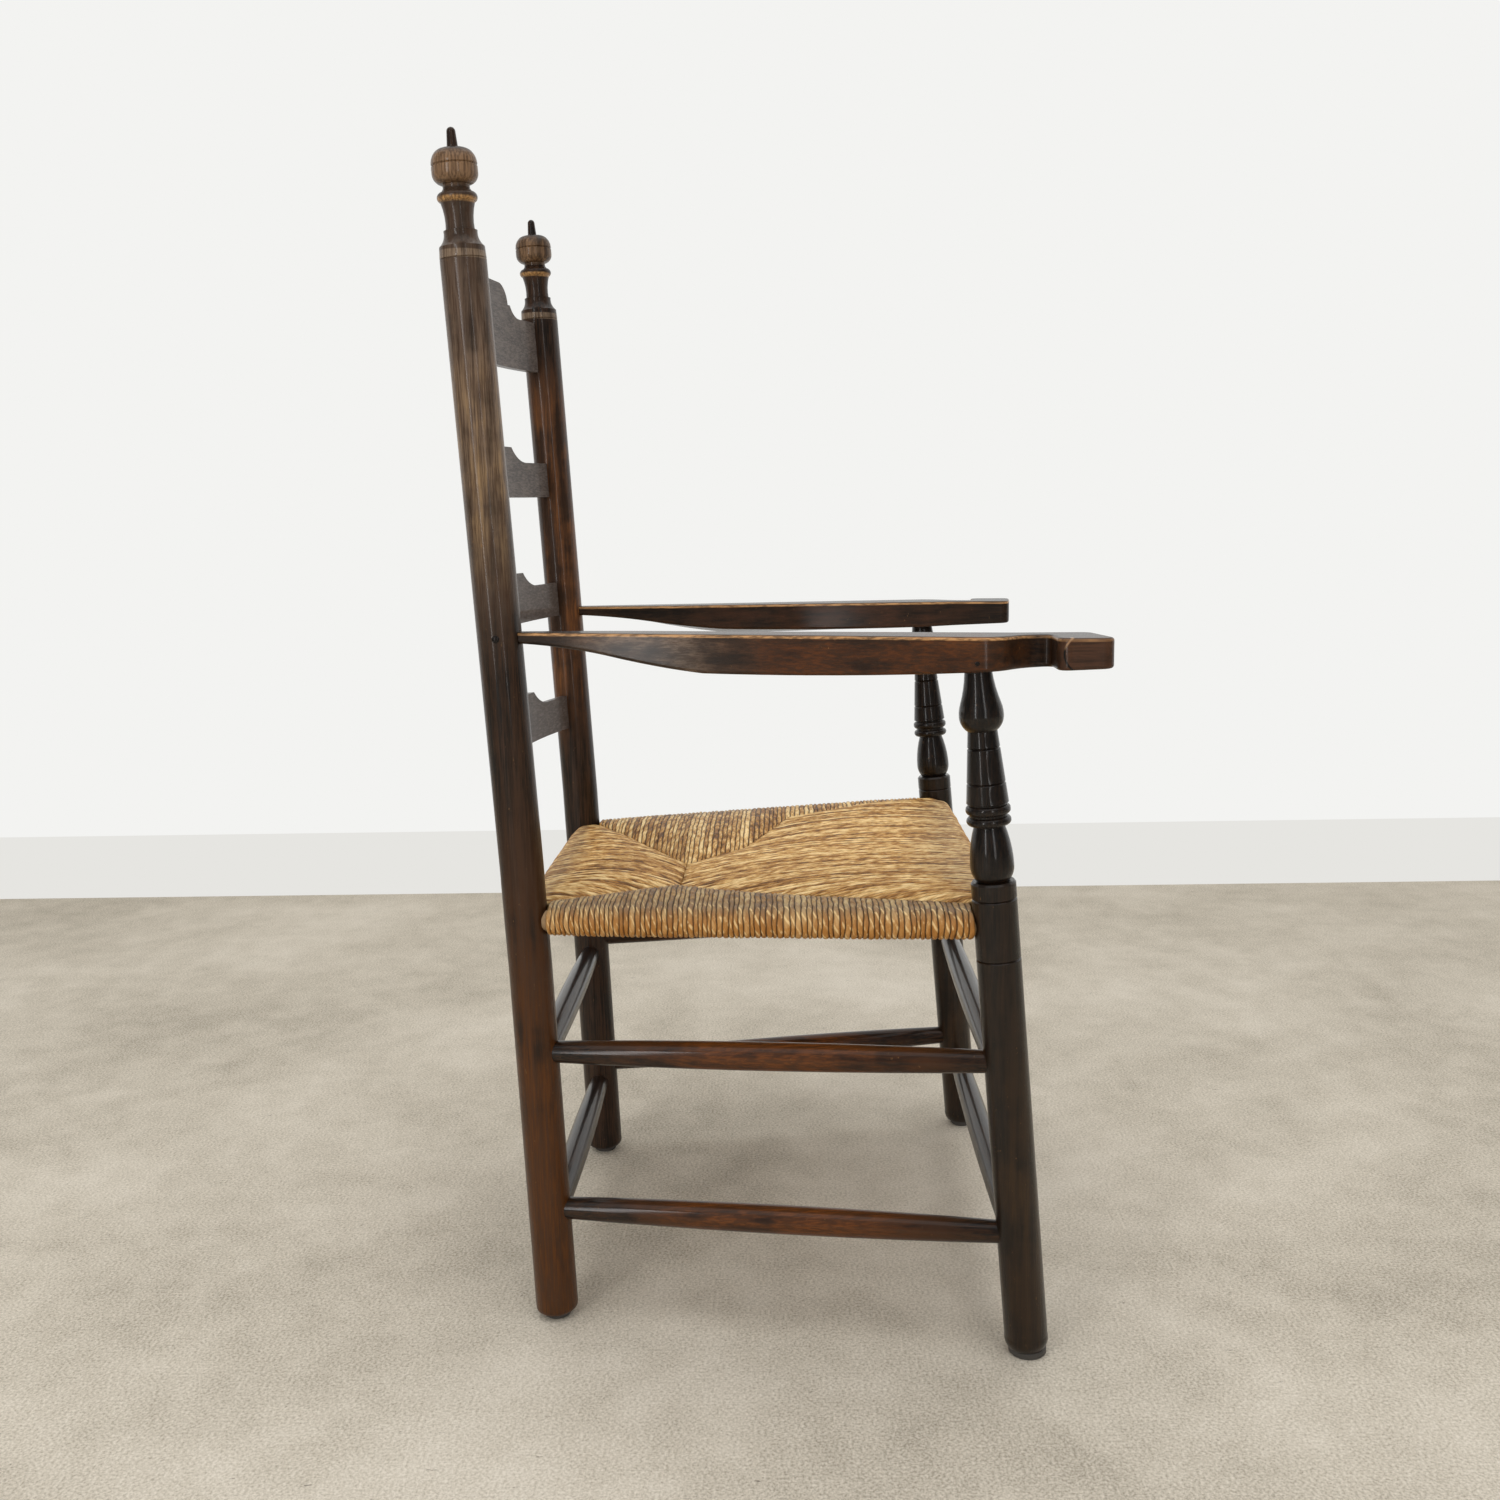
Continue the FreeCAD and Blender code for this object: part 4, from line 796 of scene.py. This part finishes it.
    @staticmethod
    def outward(points: np.ndarray) -> np.ndarray:
        """The direction out of a panel, square to its strands, averaged over the neighbours."""
        along = np.roll(points, -1, axis=0) - np.roll(points, 1, axis=0)
        sideways = np.gradient(points, axis=1)
        normal = np.cross(along, sideways)
        normal /= np.maximum(np.linalg.norm(normal, axis=-1, keepdims=True), TINY)
        middle = points.mean(axis=0, keepdims=True)
        return normal * np.sign(np.sum(normal * (points - middle), axis=-1).mean())

    def wound(self, side: Side) -> bpy.types.Object:
        """Wind one panel and close its ends, each on the middle of its last section.

        The rows and columns of the back and left panels run so that their faces point outwards,
        and the other two, which are laid the other way round, have their rows turned.
        """
        points, maps = self.panel(side)
        ends = [np.repeat(points[:, at].mean(axis=0)[None, None], points.shape[0], axis=0)
                for at in (0, -1)]
        grid = np.concatenate((ends[0], points, ends[1]), axis=1).transpose(1, 0, 2) / 1000
        wide = {name: np.concatenate((uv[:, :1], uv, uv[:, -1:]), axis=1).transpose(1, 0, 2)
                for name, uv in maps.items()}
        if side in (Side.RIGHT, Side.FRONT):
            grid = grid[::-1]
            wide = {name: uv[::-1] for name, uv in wide.items()}
        return surface(f"rush_{side.name.lower()}", grid, True, wide)

    def build(self) -> bpy.types.Object:
        """Wind the four panels into one piece and dress it."""
        pieces = [self.wound(side) for side in Side]
        with bpy.context.temp_override(active_object=pieces[0], selected_editable_objects=pieces):
            bpy.ops.object.join()
        seat = pieces[0]
        seat.name = seat.data.name = "woven_rush_seat"
        self.fuse(seat.data)
        seat.data.materials.append(Rush().material())
        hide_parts("rush_seat")
        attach(seat, "root")
        return seat

    @staticmethod
    def fuse(mesh: bpy.types.Mesh) -> None:
        """Make one point of the points that lie together at the middle of each closed end."""
        whole = bmesh.new()
        whole.from_mesh(mesh)
        bmesh.ops.remove_doubles(whole, verts=whole.verts, dist=SAME_PLACE)
        whole.to_mesh(mesh)
        whole.free()


class Woodwork:
    """The posts, slats, arms, stretchers and small parts, dressed on their own solids."""

    def posts(self) -> dict[str, VarnishedWood]:
        """The finishes of the posts: worn finials and brown patches behind, darker in front."""
        finial = (Patch(2, 1.128, 1.156, 0.006, shade(134, 104, 76), 0.7),
                  Patch(2, 1.1125, 1.1165, 0.002, shade(184, 140, 88), 0.9),
                  Patch(2, 1.0615, 1.0690, 0.001, shade(128, 108, 88), 0.8))
        back = {"grain": Grain.UPRIGHT, "brown": shade(58, 38, 24), "gloss": 0.4}
        return {
            "back_post_right": VarnishedWood("right_back_post_varnish", patches=(
                Patch(2, 0.78, 1.06, 0.22, shade(116, 95, 78), 0.75),
                Patch(2, 0.80, 0.95, 0.10, shade(156, 126, 86), 0.3),
                Patch(2, -0.2, 0.42, 0.30, shade(84, 46, 10), 0.9), *finial), **back),
            "back_post_left": VarnishedWood("left_back_post_varnish", patches=(
                Patch(2, 0.58, 0.97, 0.12, shade(124, 76, 36), 0.4), *finial), **back),
            "front_post": VarnishedWood(
                "front_post_varnish", Grain.UPRIGHT, dark=shade(16, 11, 7),
                brown=shade(38, 25, 15), roughness=0.26, gloss=0.6, patches=(
                    Patch(2, 0.482, 0.72, 0.004, shade(14, 10, 8), 0.9),
                    Patch(2, 0.0, 0.3, 0.3, shade(56, 38, 18), 0.5))),
        }

    def arms(self) -> dict[str, VarnishedWood]:
        """The finishes of the arms, with bright upper edges and painted shade in the hollow behind
        the right hand, and of their pegs and pins.
        """
        arm = {"grain": Grain.ALONG, "lean": 0.011, "gloss": 0.35}
        bright_edge = Patch(2, 0.7080, 0.7104, 0.001, shade(190, 142, 92), 1.0)
        scroll = Scroll(beyond_x=-0.325, y=-0.289, z=0.694, radius=0.0177, half_width=0.0008,
                        tone=shade(12, 8, 6), lit=shade(150, 116, 84))
        return {
            "arm_right": VarnishedWood("right_arm_varnish", scroll=scroll, patches=(
                Patch(2, 0.7020, 0.7085, 0.006, shade(110, 74, 44), 0.3),
                Patch(1, 0.03, 0.17, 0.08, shade(104, 86, 70), 0.5),
                Patch(1, -0.24, 0.02, 0.10, shade(90, 48, 16), 0.6),
                bright_edge,
                Patch(1, -0.32, -0.268, 0.003, shade(76, 48, 32), 0.7),
                # Painted shade: near-black over the hollow of the outer side just behind the right
                # hand.
                Patch(1, -0.266, -0.246, 0.014, shade(14, 10, 8), 1.0)), **arm),
            "arm_left": VarnishedWood("left_arm_varnish", patches=(
                Patch(1, -0.25, 0.10, 0.10, shade(70, 42, 26), 0.5), bright_edge), **arm),
            "arm_p": VarnishedWood("peg_varnish", Grain.ACROSS, dark=shade(14, 10, 8),
                                   brown=shade(30, 21, 16), wear=0.0),
        }

    def slats_and_stretchers(self) -> dict[str, VarnishedWood]:
        """The finishes of the slats, grey with a painted reflection of the white wall, and of the
        glossy stretchers.
        """
        return {
            # Painted reflection: the grey of the slats stands for the white wall mirrored in their
            # dark varnish; the lower slats are painted darker.
            "slat": VarnishedWood(
                "slat_varnish_painted_reflection", Grain.ACROSS, dark=shade(70, 62, 58), brown=shade(104, 94, 88),
                wear=0.0, roughness=0.4, patches=(
                    Patch(2, 0.3, 0.76, 0.1, shade(74, 64, 58), 1.0),)),
            "side_stretcher": VarnishedWood(
                "side_stretcher_varnish", Grain.ALONG, dark=shade(20, 12, 7),
                brown=shade(54, 32, 14), gloss=0.6, patches=(
                    Patch(1, -0.13, 0.12, 0.12, shade(104, 56, 16), 0.6),)),
            "front_stretcher": VarnishedWood("front_stretcher_varnish", Grain.ACROSS, gloss=0.6),
            "back_stretcher": VarnishedWood("back_stretcher_varnish", Grain.ACROSS, gloss=0.6),
        }

    def small_parts(self) -> dict[str, Plain]:
        """The finishes of the hidden rails, the glides and their nails."""
        return {
            "seat_rail": Plain("bare_rail", shade(168, 136, 98), 0.7),
            "glide_": Plain("glide_plastic", shade(70, 66, 62), 0.4),
            "glide_nails": Plain("nail_steel", shade(150, 150, 150), 0.4, 1.0),
        }

    def dress(self) -> None:
        """Give each solid but the seat the finish whose name is the longest start of its own."""
        finishes = {**self.posts(), **self.arms(), **self.slats_and_stretchers(),
                    **self.small_parts()}
        materials = {start: finish.material() for start, finish in finishes.items()}
        for name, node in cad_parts.items():
            fits = [start for start in finishes if name.startswith(start)]
            if not fits:
                continue
            node.data.materials.clear()
            node.data.materials.append(materials[max(fits, key=len)])
            log.info("dressed %s", name)


@dataclass(frozen=True)
class Viewpoint:
    """The camera of the photograph, in metres and degrees; its frame is square."""

    place: Point = (-1.665, -0.0281, 0.818)
    yaw: float = 1.60
    pitch: float = 8.77
    roll: float = -1.10
    width: float = 36.0
    lens: float = 36.0
    far_end: float = 50.0

    def build(self) -> None:
        """Set the camera up: ahead, right and up are unit vectors turned by the three angles."""
        yaw, pitch, roll = (math.radians(turn) for turn in (self.yaw, self.pitch, self.roll))
        ahead = np.array((math.cos(yaw) * math.cos(pitch), math.sin(yaw) * math.cos(pitch),
                          -math.sin(pitch)))
        level = np.array((math.sin(yaw), -math.cos(yaw), 0.0))
        over = np.cross(level, ahead)
        right = math.cos(roll) * level + math.sin(roll) * over
        up = -math.sin(roll) * level + math.cos(roll) * over
        matrix = np.identity(4)
        matrix[:3, :] = np.column_stack((right, up, -ahead, self.place))
        data = bpy.data.cameras.new("viewpoint")
        data.sensor_width = self.width
        data.lens = self.lens
        data.clip_end = self.far_end
        camera = bpy.data.objects.new("viewpoint", data)
        camera.matrix_world = Matrix(matrix.tolist())
        bpy.context.scene.collection.objects.link(camera)
        bpy.context.scene.camera = camera


@dataclass(frozen=True)
class Lamp:
    """A soft lamp of a width and a height at a place, facing an aim, with its power in watts."""

    name: str
    place: Point
    aim: Point
    size: tuple[float, float]
    power: float

    def build(self) -> None:
        """Hang the lamp: its axes are unit vectors ahead, to the right and square to both."""
        data = bpy.data.lights.new(self.name, "AREA")
        data.shape = "RECTANGLE"
        data.size, data.size_y = self.size
        data.energy = self.power
        light = bpy.data.objects.new(self.name, data)
        ahead = np.array(self.aim) - np.array(self.place)
        ahead = ahead / np.linalg.norm(ahead)
        right = np.cross(ahead, (0.0, 0.0, 1.0) if abs(ahead[2]) < 0.99 else (0.0, 1.0, 0.0))
        right = right / np.linalg.norm(right)
        matrix = np.identity(4)
        matrix[:3, :] = np.column_stack((right, np.cross(right, ahead), -ahead, self.place))
        light.matrix_world = Matrix(matrix.tolist())
        bpy.context.scene.collection.objects.link(light)


@dataclass
class Studio:
    """A pale concrete floor, a white wall with its skirting, and soft light."""

    wall_x: float = 1.604
    wall_height: float = 6.0
    skirting: float = 0.142
    skirting_depth: float = 0.012
    reach: float = 9.0
    past_wall: float = 0.02
    daylight: float = 0.83
    glossy_daylight: float = 0.12
    lamps: tuple[Lamp, ...] = (
        Lamp("overhead", (-0.5, 0.0, 3.4), (0.0, 0.0, 0.5), (3.8, 3.8), 44.0),
        Lamp("window", (-2.6, 1.5, 1.3), (0.0, 0.0, 0.6), (0.22, 2.0), 16.0),
        Lamp("far_window", (-2.6, -1.0, 1.3), (0.0, 0.0, 0.6), (0.12, 2.0), 6.0))

    def plane(self, name: str, corners: Sequence[Point], material: bpy.types.Material) -> None:
        """A flat four-cornered sheet of the room, its corners given row by row."""
        sheet = surface(name, np.array(corners).reshape(2, 2, 3), False)
        sheet.data.materials.append(material)

    def upright(self, name: str, x: float, height: float, colour: Colour) -> None:
        """A painted sheet that stands on the floor across the whole room."""
        self.plane(name, ((x, -self.reach, 0), (x, -self.reach, height), (x, self.reach, 0),
                          (x, self.reach, height)), self.wall_material(colour))

    def floor_material(self) -> bpy.types.Material:
        """Smoothed concrete: pale patches, sandy mottling and small dark specks."""
        recipe = Recipe("concrete")
        place = recipe.place()
        patches = recipe.noise(place, 1.6, 6.0, 0.6)
        sand = recipe.noise(place, 330.0, 3.0, 0.75)
        smudges = recipe.noise(place, 14.0, 4.0, 0.7)
        tone = recipe.ramp(patches * 0.3 + smudges * 0.15 + sand * 0.55, (
            (0.38, shade(144, 136, 121)), (0.50, shade(192, 183, 167)),
            (0.60, shade(214, 206, 192))))
        drawn = recipe.stretched(place, (1.0, 0.4, 1.0))
        specks = recipe.noise(drawn, 90.0, 4.0, 0.8).below(0.32, 0.03)
        return recipe.dress(
            Base_Color=recipe.mix(specks * 0.7, tone, shade(86, 78, 66)),
            Roughness=0.8)

    def wall_material(self, colour: Colour) -> bpy.types.Material:
        """White paint that the camera and glossy wood see at an even brightness."""
        recipe = Recipe("wall_paint")
        camera = recipe.add("ShaderNodeLightPath", output="Is Camera Ray")
        seen = camera + camera.beside("Is Glossy Ray")
        glow = recipe.add("ShaderNodeEmission", None, {"Color": colour, "Strength": 1.0})
        recipe.dress(Base_Color=colour, Roughness=0.9)
        paint = Value(recipe, recipe.shader.outputs[0])
        both = recipe.add("ShaderNodeMixShader", None, {
            0: seen.maths("MINIMUM", 1.0), 1: paint, 2: glow})
        recipe.fill(recipe.output.inputs["Surface"], both)
        return recipe.material

    def daylit(self) -> bpy.types.World:
        """White light from all sides, which glossy rays see dimmed."""
        world = bpy.data.worlds.new("room_light")
        world.use_nodes = True
        nodes = Nodes(world.node_tree)
        glossy = nodes.add("ShaderNodeLightPath", output="Is Glossy Ray")
        strength = nodes.add("ShaderNodeMapRange", None, {
            "Value": glossy, "To Min": self.daylight, "To Max": self.glossy_daylight})
        background = world.node_tree.nodes["Background"]
        nodes.fill(background.inputs["Color"], (1.0, 1.0, 1.0, 1.0))
        nodes.fill(background.inputs["Strength"], strength)
        return world

    def build(self) -> None:
        """Lay the floor, raise the wall, hang the lamps and light the world."""
        far, end = self.reach, self.wall_x + self.past_wall
        self.plane("floor", ((-far, -far, 0), (end, -far, 0), (-far, far, 0), (end, far, 0)),
                   self.floor_material())
        self.upright("wall", self.wall_x, self.wall_height, shade(243, 243, 241))
        self.upright("skirting", self.wall_x - self.skirting_depth, self.skirting,
                     shade(230, 229, 225))
        for lamp in self.lamps:
            lamp.build()
        bpy.context.scene.world = self.daylit()


def main() -> None:
    """Build the chair, the room and the camera."""
    logging.basicConfig(level=logging.INFO, format="%(message)s")
    bpy.context.scene.view_settings.view_transform = "Standard"
    Viewpoint().build()
    Woodwork().dress()
    seat = RushSeat().build()
    log.info("wound %s with %d faces", seat.name, len(seat.data.polygons))
    Studio().build()


if __name__ == "__main__":
    main()
